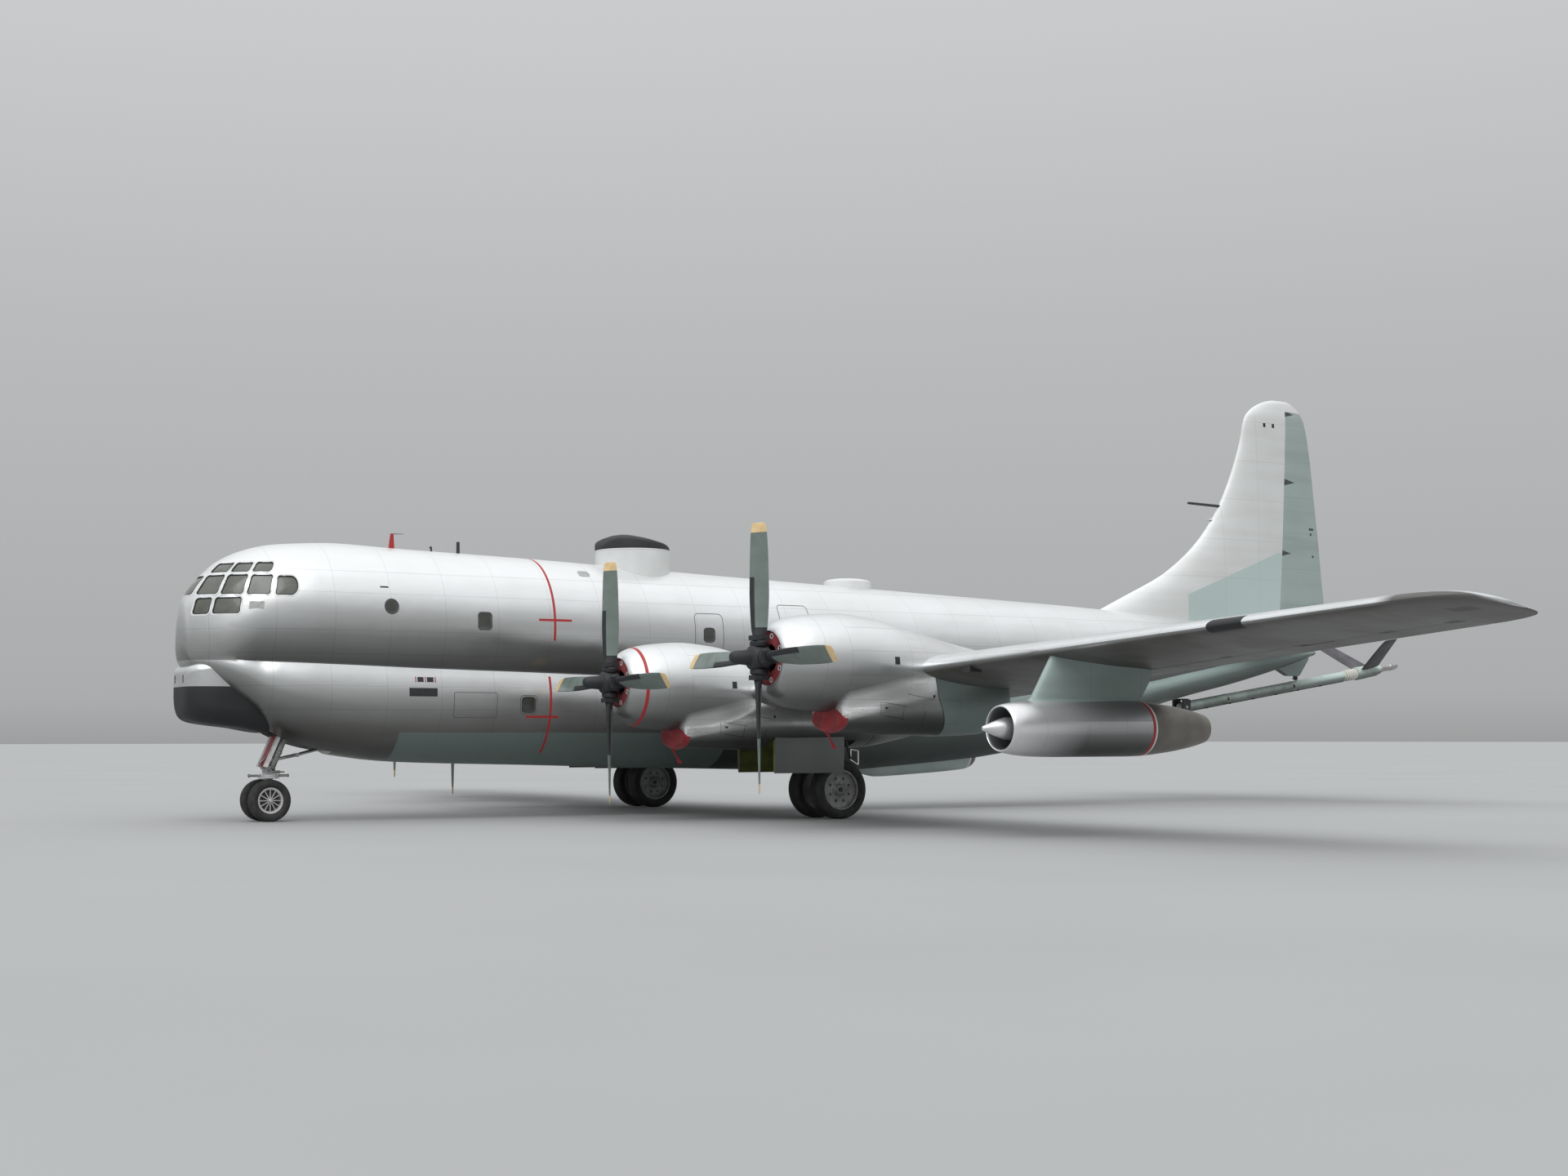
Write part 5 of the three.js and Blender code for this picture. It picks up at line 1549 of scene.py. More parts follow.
def wing_rings(side, steps=26):
    turn = np.arange(-steps, steps)
    along = (1 - np.cos(np.pi * turn / steps)) / 2
    rings = []
    for out in WING_STATIONS + [HALF_SPAN - inward for inward, *_ in reversed(TIP_ROUNDING[:-1])]:
        start, end, left = follow(TIP_ROUNDING, [HALF_SPAN - out])[0]
        half = foil_half(along) * wing_at(out)[4] * left * np.sign(turn)
        ring = np.array([wing_point(side, out, start + (end - start) * share) for share in along])
        ring[:, 2] += half
        rings.append(ring)
    return rings


FAR = 60000
CLEAR = 14


def hinge_tool(name, line, trim, share, more, upright=False):
    """The space of a control surface: a round bar along its hinge line, joined to a wedge that runs aft."""
    table = np.array(line, float)
    along = table[:, 2] if upright else table[:, 1]
    order = np.argsort(along)
    table, along = table[order], along[order]
    places = np.clip(along, along[0] + trim, along[-1] - trim)
    x, y, z, half = (np.interp(places, along, table[:, column]) for column in range(4))
    angles = np.linspace(0, 2 * math.pi, 40, endpoint=False)
    bars, wedges = [], []
    for i in range(len(places)):
        radius = half[i] * share + more
        first, second = x[i] + radius * np.cos(angles), radius * np.sin(angles)
        flat = np.full(len(angles), (z if upright else y)[i])
        bars.append(
            np.stack([first, y[i] + second, flat] if upright else [first, flat, z[i] + second], axis=1)
        )
        shift = 0 if more else 1
        corners = [(x[i] + shift, -4000), (FAR, -4000), (FAR, 9000), (x[i] + shift, 9000)]
        wedges.append([(a, b, z[i]) if upright else (a, y[i], b) for a, b in corners])
    return cut(body_from(name, skin(bars)), body_from("wedge", skin([wedges[0], wedges[-1]])), "UNION")


def between(name, low, high, side, ahead_share, trim):
    """The space behind the flap's joint between two distances out."""
    corners = []
    for out, inward in ((low, trim), (high, -trim)):
        x, y, _ = wing_point(side, out + inward, ahead_share)
        corners.append([(x + trim, y, -4000), (FAR, y, -4000), (FAR, y, 9000), (x + trim, y, 9000)])
    return body_from(name, skin(corners))


AILERON = (13100, 20500, 0.76)
FLAP = (1640, 12950, 0.745)
FLAP_GAP = 16


def aileron_line(side):
    inner, outer, share = AILERON
    stations = [inner] + [out for out in WING_STATIONS if inner < out < outer] + [outer]
    half = foil_half(share)
    return [(*wing_point(side, out, share), half * wing_at(out)[4]) for out in stations]


print("a wing has", len(wing_rings(1)), "sections")

# %% [markdown]
# Wing paint below is a dark grey-brown: partly the paint's own dull, dirty colour and mostly painted shade,
# with patches where panels were changed. The surface's own normal says which side is which, so the change
# wraps round the leading edge softly and belongs to the metal wherever it is seen from.

# %% Wings: paint
def wing_paint(name="wing_paint", seams=True):
    finish = weathered_and_shaded_paint(name, dents=2.0)
    # Surfaces facing down are painted dark grey-brown: the paint's own dull colour, and mostly painted shade.
    below = finish.both(
        finish.spread(finish.facing_up, -0.25, -0.62), finish.spread(finish.facing_aft, -0.75, -0.5)
    )
    patches = finish.spread(finish.noise(0.8, 5, (0.6, 1.4, 1)), 0.42, 0.62)
    finish.paint(below, (0.15, 0.148, 0.14), metallic=0.35, roughness=0.5)
    finish.tint(finish.math("MULTIPLY", below, finish.math("MULTIPLY", patches, 0.7)), (0.55, 0.52, 0.47))
    if seams:
        out = finish.math("ABSOLUTE", finish.y)
        behind = finish.math("SUBTRACT", finish.x, finish.math("MULTIPLY", out, 0.06))
        ribs = finish.lines(out, 1.45, 0.012, 0.3)
        spars = [finish.within(behind, place - 0.006, place + 0.006) for place in (11.35, 12.15, 12.95, 13.6)]
        add_seams(finish, ribs, *spars)
        hinge = finish.math("SUBTRACT", finish.x, finish.math("MULTIPLY", out, 0.023))
        hinges = finish.either(
            *[finish.within(out, place - 0.13, place + 0.13) for place in (13.7, 15.6, 17.3, 19.05, 20.3)]
        )
        finish.tint(finish.both(hinges, finish.within(hinge, 14.22, 14.42), below), (0.2, 0.2, 0.19))
        sheared = finish.math(
            "SUBTRACT", finish.x, finish.math("MULTIPLY", finish.math("SUBTRACT", out, 21.1), 0.4)
        )
        vent = finish.both(finish.within(out, 20.9, 21.26), finish.within(sheared, 13.88, 14.19), below)
        finish.tint(vent, (0.3, 0.3, 0.29))
        tip = finish.both(finish.spread(out, 20.3, 20.6), finish.spread(finish.facing_aft, -0.05, -0.25))
        finish.paint(tip, (0.12, 0.118, 0.112), 0.2, 0.5)
        boot = finish.both(finish.within(out, 17.2, 17.9), finish.spread(finish.facing_aft, -0.22, -0.34))
        finish.paint(boot, BLACK, 0.0, 0.6)
    return finish.done()


wing_silver = wing_paint()

# %% [markdown]
# Flaps and ailerons are cut out of the same foil, so their skins run on from the wing without a step. A
# flap drops about a line below the wing, and its forward edge is flat. An aileron rolls in a round bay,
# which leaves room for its corners to swing. The inner nacelle's tail is bolted to the flap and moves down
# with it.

# %% Wings: fixed wing, aileron and flap
for side_name, side in SIDES.items():
    wing = body_from(f"wing_{side_name}_skin", skin(wing_rings(side)))
    aileron = body_from(f"aileron_{side_name}_skin", skin(wing_rings(side)))
    flap = body_from(f"flap_{side_name}_skin", skin(wing_rings(side)))
    cut(wing, hinge_tool("bay", aileron_line(side), 0, 1, CLEAR))
    cut(wing, between("flap_bay", FLAP[0], FLAP[1], side, FLAP[2], 0))
    cut(aileron, hinge_tool("aileron_space", aileron_line(side), CLEAR, 0.95, 0), "INTERSECT")
    cut(flap, between("flap_space", FLAP[0], FLAP[1], side, FLAP[2], FLAP_GAP), "INTERSECT")
    dress(wing, "airframe", "silver_skin", wing_silver, replaces=(f"wing_{side_name}",))
    dress(aileron, f"aileron_{side_name}", "silver_skin", wing_silver, replaces=(f"aileron_{side_name}",))
    dress(flap, f"flap_{side_name}", "silver_skin", wing_silver, replaces=(f"flap_{side_name}",))
    number, _, x, out, z, _ = next(row for row in ENGINES if row[5] and row[1] == side_name)
    tail_cone = half_of(
        local_body(f"nacelle_{number}_tail", skin(nacelle_rings(INNER_DUCT))), TAIL_CONE - x, 9000
    )
    set_at(tail_cone, x, side * out, z)
    dress(tail_cone, f"flap_{side_name}", "silver_skin", cowl_paints[True])
    print(
        side_name, "wing", len(wing.data.polygons), "aileron", len(aileron.data.polygons), "flap",
        len(flap.data.polygons)
    )

# %% [markdown]
# A jet pod hangs under each outer wing on a raked pylon. It is spun and welded sheet: a polished lip, a
# bullet in the intake, and a tail pipe of heat-browned alloy behind a red warning ring. It is turned from
# one outline, and its paint changes at the ring's distance aft.

# %% Jet pods and pylons
POD_OUT, POD_UP = 13700, 1960
JET_POD = [
    (10738, 3), (10741, 20), (10752, 34), (10772, 46), (10850, 72), (11000, 124), (11130, 168), (11240, 198),
    (11400, 212),
    (11700, 215), (11700, 384), (11400, 378), (11250, 374), (11170, 376), (11135, 384), (11125, 394),
    (11129, 405),
    (11150, 417), (11210, 433), (11300, 451), (11446, 473), (11620, 490), (11800, 501), (12050, 508),
    (12300, 512),
    (13300, 512), (14000, 511), (14300, 504), (14600, 480), (15000, 436), (15200, 409), (15500, 357),
    (15700, 313),
    (15870, 268), (15870, 250), (15700, 262), (15400, 286), (15400, 5),
]
PYLON = [(2300, 11690, 14310), (2470, 11800, 14390), (3000, 12125, 14675), (3420, 12385, 14700)]


def pod_paint():
    finish = weathered_and_shaded_paint("jet_pod_paint", (0.62, 0.63, 0.64), 0.36, 0.7, 2.0, 0.5)
    brown = finish.spread(finish.x, 14.31, 14.33)
    # Painted shade: darker towards the bottom of the pod.
    finish.tint(finish.spread(finish.z, 2.0, 1.6), (0.6, 0.6, 0.59))
    finish.paint(brown, (0.215, 0.205, 0.185), 0.7, 0.42)
    finish.tint(finish.both(brown, finish.spread(finish.noise(1.5, 4), 0.4, 0.65)), (0.72, 0.69, 0.66))
    finish.paint(finish.within(finish.x, 14.31, 14.35), WHITE, 0.0, 0.5)
    finish.paint(finish.within(finish.x, 14.24, 14.31), RED, 0.0, 0.5)
    finish.paint(finish.spread(finish.x, 12.7, 11.3), (0.8, 0.8, 0.81), 0.8, 0.3)
    finish.tint(finish.spread(finish.x, 15.6, 15.95), (1.35, 1.35, 1.3))
    rings = [finish.within(finish.x, place - 0.006, place + 0.006) for place in (11.8, 12.75, 13.62, 15.2)]
    split = finish.both(finish.within(finish.z, 2.085, 2.097), finish.within(finish.x, 12.4, 14.2))
    upper = finish.both(
        finish.math("GREATER_THAN", finish.z, 2.09), finish.spread(finish.x, 12.0, 13.2),
        finish.math("LESS_THAN", finish.x, 14.24)
    )
    finish.tint(upper, (0.66, 0.66, 0.67))
    add_seams(finish, split, *rings)
    return finish.done()


pod_silver = pod_paint()
duct_dark = plain_finish("duct_dark", (0.24, 0.245, 0.25), 0.45, 0.6, 3, (0.7, 0.7, 0.7)).done()
for side_name, side in SIDES.items():
    y = side * POD_OUT
    jet = body_from(f"jet_pod_{side_name}_shell", turned(JET_POD, 96, "x", (0, y, POD_UP)))
    dress(jet, "airframe", "silver_skin", pod_silver, duct_dark, replaces=(f"jet_pod_{side_name}",))
    for face in jet.data.polygons:
        x = face.center.x * MM_PER_METRE + LENGTH / 2
        reach = math.hypot(face.center.y * MM_PER_METRE - y, face.center.z * MM_PER_METRE - POD_UP)
        if (11160 < x < 11750 and 216 < reach < 390) or (x > 15300 and reach < 290 and face.normal.x > -0.3):
            face.material_index = 1
    heights = np.linspace(2300, 3420, 9)
    back_heights = 2300 + (heights - 2300) * 0.76
    fronts, backs = follow(PYLON, heights)[:, 0], follow(PYLON, back_heights)[:, 1]
    rings = [
        foil((front, y, z), (back, y, back_z), 280, (0, 1, 0), 24)
        for front, back, z, back_z in zip(fronts, backs, heights, back_heights)
    ]
    fitting = body_from(
        f"edge_fitting_{side_name}", block((11990, 12260), sorted((side * 11500, side * 11760)), (3040, 3230))
    )
    dress(fitting, "airframe", "dark_metal", dark_metal)
    pylon = body_from(f"jet_pylon_{side_name}_skin", skin(rings))
    dress(pylon, "airframe", "sage_skin", sage, replaces=(f"jet_pylon_{side_name}",))
    foot = body_from(f"pylon_foot_{side_name}", skin([
        foil((11745, y, 2425), (14375, y, 2425), 350, (0, 1, 0), 24), foil(
            (11790, y, 2490), (14400, y, 2490), 335, (0, 1, 0), 24
        )]))
    dress(foot, "airframe", "sage_skin", sage)
    print(jet.name, len(jet.data.polygons))

# %% [markdown]
# The fin is tall, with a long curved root that runs forward along the crown. Its upper part is pale and its
# foot sage, like the rudder. Its leading edge is followed smoothly through the table's rows. The rudder is
# cut from the same form behind the hinge line, with small notches for its hinges.

# %% Fin and rudder
FIN = [
    # height, leading edge, trailing edge, thickness
    (4600, 23900, 34090, 480),
    (5640, 26210, 34015, 480),
    (6420, 27870, 33930, 440),
    (7490, 29220, 33830, 400),
    (8730, 30110, 33690, 350),
    (10270, 30770, 33500, 290),
    (11030, 30980, 33330, 240),
    (11300, 31240, 33160, 180),
    (11470, 31550, 32960, 120),
    (11565, 31830, 32790, 70),
    (11609, 32080, 32640, 25),
]
RUDDER = [
    (32150, 0, 4830, 124),
    (32331, 0, 7490, 138),
    (32415, 0, 8730, 130),
    (32520, 0, 10270, 112),
    (32571, 0, 11030, 90),
    (32590, 0, 11300, 76),
]
BELOW_RUDDER = (32087, 0, 3900, 124)
fin_places = np.concatenate([np.linspace(4600, 11030, 34), np.linspace(11100, 11609, 12)])
fin_rings = [
    foil((lead, 0, z), (trail, 0, z), thick, (0, 1, 0), 26) for z,
    (lead, trail, thick) in zip(fin_places, follow(FIN, fin_places))
]


PALE_SAGE = (0.44, 0.53, 0.51)


def fin_paint():
    finish = weathered_and_shaded_paint("fin_pale_paint", (0.86, 0.87, 0.87), 0.44, 0.05, 2.0, 0.3)
    edge = finish.math(
        "SUBTRACT", finish.z, finish.math("MULTIPLY", finish.math("SUBTRACT", finish.x, 28.51), 0.374)
    )
    low = finish.both(
        finish.math("LESS_THAN", edge, 5.82), finish.math("GREATER_THAN", finish.x, 28.5),
        finish.math("LESS_THAN", finish.z, 7.14),
    )
    finish.paint(low, PALE_SAGE, 0.05, 0.5)
    levels = [finish.within(finish.z, z - 0.006, z + 0.006) for z in (6.35, 7.45, 8.62, 9.75, 10.9)]
    spars = [finish.within(finish.x, x - 0.006, x + 0.006) for x in (29.94, 31.3)]
    ports = [
        finish.both(finish.within(finish.x, x - 0.05, x + 0.05), finish.within(finish.z, 10.78, 10.9))
        for x in (31.63, 31.98)
    ]
    finish.paint(finish.either(*ports), BLACK, 0.0, 0.6)
    add_seams(finish, *levels, *spars)
    return finish.done()


def rudder_paint():
    finish = weathered_and_shaded_paint("rudder_sage", PALE_SAGE, 0.5, 0.05, 1.6, 0.5)
    notches = []
    for x, z in ((32.28, 7.15), (32.5, 9.23), (32.56, 11.24)):
        taper = finish.math("MULTIPLY", finish.math("SUBTRACT", x + 0.34, finish.x), 0.22)
        off = finish.math("ABSOLUTE", finish.math("SUBTRACT", finish.z, z))
        notches.append(finish.math("LESS_THAN", off, taper))
    tabs = [
        finish.both(
            finish.within(finish.x, x - half, x + half), finish.within(finish.z, z - 0.035, z + 0.035)
        )
        for x, z, half in ((33.52, 7.9, 0.1), (33.5, 7.75, 0.04), (33.57, 7.1, 0.04))
    ]
    finish.paint(finish.either(*notches, *tabs), (0.05, 0.06, 0.058), 0.0, 0.6)
    add_seams(finish, finish.lines(finish.z, 1.05, 0.011, 0.4))
    return finish.done()


fin = body_from("fin_skin", skin(fin_rings))
cut(fin, hinge_tool("rudder_bay", [BELOW_RUDDER] + RUDDER, 0, 1, CLEAR, True))
fin_white = fin_paint()
dress(fin, "airframe", "fin_white", fin_white, replaces=("fin",))
rudder = body_from("rudder_skin", skin(fin_rings))
cut(rudder, hinge_tool("rudder_space", RUDDER, CLEAR, 0.95, 0, True), "INTERSECT")
dress(rudder, "rudder", "sage_skin", rudder_paint(), replaces=("rudder",))
probe = body_from(
    "fin_probe", rod((29990, 0, 8400), (28800, 0, 8432), 42, 36),
    rod((28800, 0, 8432), (28760, 0, 8433), 36, 20)
)
pitot = body_from(
    "fin_pitot", rod((29800, 0, 7985), (29560, 0, 7990), 42, 34),
    rod((29560, 0, 7990), (29400, 0, 7992), 14, 9)
)
dress(pitot, "airframe", "bare_metal", fin_white)
dress(probe, "airframe", "dark_metal", dark_metal)
print("fin", len(fin.data.polygons), "rudder", len(rudder.data.polygons))

# %% [markdown]
# The tailplane is a smaller wing with a little upward slope, and its elevators are joined across the tail,
# so both move together. It is made as the wing is.

# %% Tailplane and elevators
TAILPLANE = [
    # out, leading edge, trailing edge, height, thickness
    (150, 29500, 33050, 4600, 380),
    (5900, 30950, 32830, 4950, 190),
    (6250, 31075, 32795, 4968, 150),
    (6420, 31220, 32730, 4978, 110),
    (6510, 31400, 32660, 4984, 75),
    (6549, 31600, 32560, 4986, 35),
]
ELEVATOR = [(950, 32000, 4648.7, 115), (5900, 32238, 4950, 67), (6150, 32250, 4965.2, 60)]
tail_places = np.concatenate([np.linspace(150, 5900, 12), np.linspace(6000, 6549, 12)])
tail_silver = wing_paint("tailplane_paint", seams=False)
for side_name, side in SIDES.items():
    rings = [foil((lead, side * out, z), (trail, side * out, z), thick, (0, 0, 1), 24)
             for out, (lead, trail, z, thick) in zip(tail_places, follow(TAILPLANE, tail_places))]
    plane = body_from(f"tailplane_{side_name}_skin", skin(rings))
    elevator = body_from(f"elevator_{side_name}_skin", skin(rings))
    line = [(x, side * out, z, half) for out, x, z, half in ELEVATOR]
    cut(plane, hinge_tool("elevator_bay", line, 0, 1, CLEAR))
    cut(elevator, hinge_tool("elevator_space", line, CLEAR, 0.95, 0), "INTERSECT")
    dress(plane, "airframe", "silver_skin", tail_silver, replaces=(f"tailplane_{side_name}",))
    dress(elevator, f"elevator_{side_name}", "silver_skin", tail_silver, replaces=(f"elevator_{side_name}",))
    print(side_name, "tailplane", len(plane.data.polygons), "elevator", len(elevator.data.polygons))

# %% [markdown]
# The refuelling boom is a long tube hinged on a yoke under the tail, with a slimmer tube that slides out of
# it and two small wings that fly it. It lies stowed against a bracket below the fin. It is built straight,
# along one axis, and tilted into its place. A pale wrapping and a steel collar mark the joint ahead of the
# small wings.

# %% Refuelling boom: tube, sliding tube and yoke
PIVOT_X, PIVOT_Z = 28400, 2660
BOOM_TILT = math.atan2(3950 - PIVOT_Z, LENGTH - PIVOT_X)
BOOM_END = (LENGTH - PIVOT_X) / math.cos(BOOM_TILT) - 55 * math.tan(BOOM_TILT)
TUBE = [
    (-139, 3), (-132, 45), (-108, 88), (-66, 122), (0, 138), (600, 137), (1600, 136), (1612, 143),
    (1680, 143),
    (1692, 136), (4200, 136), (4212, 143), (4280, 143), (4292, 136), (6380, 136), (6400, 152), (6520, 166),
    (6640, 160), (6760, 168), (6880, 160), (6900, 186), (6930, 190), (7180, 187), (7190, 180), (7210, 180),
    (7220, 186), (7700, 172), (7740, 165), (7760, 142), (7885, 136), (7900, 128), (7900, 106), (1500, 106),
    (1500, 3),
]
EXTENSION = [
    (1700, 3), (1700, 92), (7960, 92), (7970, 99), (8050, 99), (8060, 92), (BOOM_END - 330, 92),
    (BOOM_END - 318, 101),
    (BOOM_END - 260, 103), (BOOM_END - 248, 96), (BOOM_END - 150, 95), (BOOM_END - 60, 80),
    (BOOM_END - 12, 62),
    (BOOM_END, 54), (BOOM_END, 34), (BOOM_END - 60, 30), (BOOM_END - 60, 3),
]


def at_boom(shape):
    """Takes a shape made along +X from the boom's pivot to its stowed place."""
    points, faces = shape
    x, y, z = np.array(points, float).T
    cosine, sine = math.cos(BOOM_TILT), math.sin(BOOM_TILT)
    return np.stack([PIVOT_X + x * cosine - z * sine, y, PIVOT_Z + x * sine + z * cosine], axis=1), faces


def prism(outline, low, high):
    """A plate across the aircraft, from an outline of (x, height)."""
    return skin([[(x, y, z) for x, z in outline] for y in (low, high)])


def boom_paint():
    finish = weathered_and_shaded_paint("boom_paint", (0.50, 0.60, 0.57), 0.48, 0.05, 1.6, 0.5)
    wrap = finish.within(finish.x, 34.68, 35.21)
    finish.paint(wrap, (0.60, 0.60, 0.55), 0.0, 0.7)
    finish.tint(finish.both(wrap, finish.lines(finish.x, 0.09, 0.03)), (0.6, 0.6, 0.58))
    finish.tint(finish.spread(finish.noise(2.2, 4), 0.5, 0.62), (0.8, 0.79, 0.75))
    return finish.done()


steel = plain_finish("brushed_steel", (0.46, 0.46, 0.45), 0.3, 0.9, 5, (0.72, 0.71, 0.69)).done()
tube = body_from("boom_tube_skin", at_boom(turned(TUBE, 64)))
cut(tube, body_from("pin", rod((PIVOT_X, -225, PIVOT_Z), (PIVOT_X, 225, PIVOT_Z), 45)), "UNION")
dress(tube, "boom", "sage_skin", boom_paint(), replaces=("boom_tube",))
clamps = [
    at_boom(rod((x, side * 150, -40), (x, side * 150, 40), 26)) for x in (1645, 4245) for side in (-1, 1)
]
line = [at_boom(rod((260, 0, -152), (6380, 0, -152), 13))]
line += [
    at_boom(turned([(x, 3), (x, 22), (x + 60, 22), (x + 60, 3)], 16, "x", (0, 0, -152)))
    for x in range(900, 6300, 900)
]
dress(body_from("boom_pipe", *clamps, *line), "boom", "gear_steel", dark_metal)
slide = body_from("boom_extension_skin", at_boom(turned(EXTENSION, 48)))
dress(slide, "boom_extension", "bare_metal", steel, replaces=("boom_extension",))

yoke = body_from(
    "boom_yoke_skin",
    turned(
        [(2861, 3), (2861, 188), (2866, 200), (2888, 200), (2893, 190), (2893, 3)], 48, "z", (PIVOT_X, 0, 0)
    )
)
arc = [(PIVOT_X + 130 * math.cos(a), PIVOT_Z + 130 * math.sin(a)) for a in np.linspace(-math.pi, 0, 18)]
for side in SIDES.values():
    low, high = sorted((side * 158, side * 224))
    ear = body_from("ear", prism([(PIVOT_X - 130, 2868)] + arc + [(PIVOT_X + 130, 2868)], low, high))
    cut(ear, body_from("hole", rod((PIVOT_X, low - 20, PIVOT_Z), (PIVOT_X, high + 20, PIVOT_Z), 51)))
    cut(yoke, ear, "UNION")
dress(yoke, "boom_yoke", "dark_metal", dark_metal, replaces=("boom_yoke",))
print("boom", len(tube.data.polygons), "yoke", len(yoke.data.polygons))

# %% [markdown]
# The two small wings stand up from the collar in a V. The one on the port side is black and the other grey.
# Below the fin a sage bracket with a dark latch holds the stowed boom.

# %% Boom's small wings and the stowing bracket
SIDE_FIN_TILT = math.radians(35)
SIDE_FIN = [
    # out along the small wing, its leading and trailing edge along the boom, thickness
    (215, 7010, 7700, 70),
    (1500, 6802, 7353, 43),
    (1590, 6800, 7330, 38),
    (1625, 6822, 7300, 28),
    (1640, 6860, 7260, 10),
]
fin_black = plain_finish("small_wing_black", (0.022, 0.022, 0.024), 0.5, 0.0, 3, (1.4, 1.4, 1.4)).done()
fin_grey = plain_finish("small_wing_grey", (0.085, 0.08, 0.092), 0.45, 0.3, 3, (0.7, 0.7, 0.7)).done()
for (side_name, side), finish in zip(SIDES.items(), (fin_black, fin_grey)):
    outward, upward = side * math.cos(SIDE_FIN_TILT), math.sin(SIDE_FIN_TILT)
    rings = []
    places = [215, 236, 800, 1300, 1500, 1545, 1590, 1610, 1625, 1634, 1640]
    for out, (lead, trail, thick) in zip(places, follow(SIDE_FIN, places)):
        y, z = out * outward, out * upward
        rings.append(foil((lead, y, z), (trail, y, z), thick, (0, -upward, outward), 24))
    small_wing = body_from(f"ruddervator_{side_name}_skin", at_boom(skin(rings)))
    dress(
        small_wing, f"ruddervator_{side_name}", "radome_black", finish, replaces=(f"ruddervator_{side_name}",)
    )
bracket_outline = [
    (31000, 4700), (31500, 4130), (31975, 3821), (32400, 3612), (32450, 3592), (32840, 3588), (32890, 3612),
    (33199, 4064),
    (33200, 4318), (33400, 4700),
]
bracket = skin(
    [[(x, y * (1 - 0.55 * (4700 - z) / 1112), z) for x, z in bracket_outline] for y in (-190, 190)]
)
dress(body_from("boom_bracket", bracket), "airframe", "sage_skin", sage)
latch = [prism([(32740, 3600), (32735, 3510), (32780, 3470), (32840, 3470), (32860, 3600)], -30, 30),
         rod((32790, -90, 3520), (32790, 90, 3520), 20)]
dress(body_from("boom_latch", *latch), "airframe", "dark_metal", dark_metal)
print("small wings and bracket made")

# %% [markdown]
# The landing gear is welded and machined steel. The nose leg leans back to its pivot, with a folding brace
# behind and a silver steering collar with its bar. A red and white board is fixed in front of it. The
# wheels have their own castings: thin spokes on the nose wheels, round holes in the main ones.

# %% Landing gear: finishes and wheels
gear_paint = plain_finish("gear_paint", (0.42, 0.43, 0.43), 0.36, 0.7, 4, (0.62, 0.6, 0.56)).done()
collar_silver = plain_finish("collar_silver", (0.75, 0.75, 0.76), 0.16, 0.95, 6, (0.8, 0.8, 0.8)).done()
wheel_silver = plain_finish(
    "wheel_silver", (0.66, 0.66, 0.66), 0.36, 0.5, 7, (0.78, 0.76, 0.73), local=True
).done()
wheel_grey = plain_finish(
    "wheel_grey", (0.27, 0.275, 0.275), 0.45, 0.4, 6, (0.7, 0.69, 0.66), local=True
).done()
wheel_dark = plain_finish(
    "wheel_dark", (0.035, 0.036, 0.038), 0.6, 0.2, 6, (1.3, 1.3, 1.3), local=True
).done()


def tyre_rubber():
    finish = Finish("tyre_rubber", (0.018, 0.018, 0.019), 0.72, 0.0, local=True)
    dust = finish.spread(finish.noise(5, 5), 0.4, 0.7)
    finish.paint(finish.math("MULTIPLY", dust, 0.35), (0.09, 0.085, 0.078), 0.0, 0.85)
    finish.emboss(finish.noise(90, 2), 0.6)
    return finish.done()


tyre_black = tyre_rubber()
NOSE_WHEELS = {"radius": 457, "width": 280, "rim": 285, "spread": 300, "axle": 42, "hub": 90}
MAIN_WHEELS = {"radius": 650, "width": 400, "rim": 450, "spread": 445, "axle": 75, "hub": 130}
GROOVES = (-0.36, -0.12, 0.12, 0.36)


def tyre_profile(radius, width, rim, **_):
    """Bead, wall with a raised band, rounded shoulder, and a tread with straight grooves."""
    half, wall = width / 2, radius - rim
    side = [
        (0.74, rim + 1), (0.80, rim + 0.05 * wall), (0.86, rim + 0.12 * wall), (0.955, rim + 0.3 * wall),
        (0.985, rim + 0.36 * wall),
        (0.985, rim + 0.42 * wall), (1.0, rim + 0.5 * wall), (0.99, rim + 0.62 * wall),
        (0.96, rim + 0.74 * wall),
        (0.90, rim + 0.85 * wall), (0.80, rim + 0.93 * wall), (0.68, rim + 0.975 * wall),
        (0.56, rim + 0.993 * wall),
    ]
    tread = []
    for place in GROOVES:
        tread += [
            (place - 0.035, radius), (place - 0.02, radius - 0.05 * wall),
            (place + 0.02, radius - 0.05 * wall), (place + 0.035, radius)
        ]
    outline = [(-share * half, reach) for share, reach in side]
    outline += [(share * half, reach) for share, reach in tread]
    outline += [(share * half, reach) for share, reach in reversed(side)]
    return outline


def spin_outward(shape, side):
    """Turns a wheel's shape so that its outer face points away from the leg."""
    points, faces = shape
    points = np.array(points, float)
    return (points, faces) if side > 0 else (points * (-1, -1, 1), faces)


def tyre_shape(sizes):
    rings = turned(tyre_profile(**sizes), 72, "y")
    points, faces = rings
    count = len(tyre_profile(**sizes))
    closed = [face for face in faces if len(face) == 4]
    closed += [((count - 1) * 72 + i, (count - 1) * 72 + (i + 1) % 72, (i + 1) % 72, i) for i in range(72)]
    return points, closed


def rim_shape(width, rim, **_):
    """The rolled rim, with its lip at each side; the web and hub are made apart."""
    half = width / 2
    section = [
        (-0.70, rim - 46), (-0.70, rim - 1), (-0.66, rim), (0.66, rim), (0.715, rim - 2), (0.73, rim - 10),
        (0.715, rim - 20),
        (0.64, rim - 24), (0.60, rim - 44), (0.2, rim - 58), (-0.2, rim - 58),
    ]
    points, faces = turned([(share * half, reach) for share, reach in section], 72, "y")
    count = len(section)
    closed = [face for face in faces if len(face) == 4]
    closed += [((count - 1) * 72 + i, (count - 1) * 72 + (i + 1) % 72, (i + 1) % 72, i) for i in range(72)]
    return points, closed


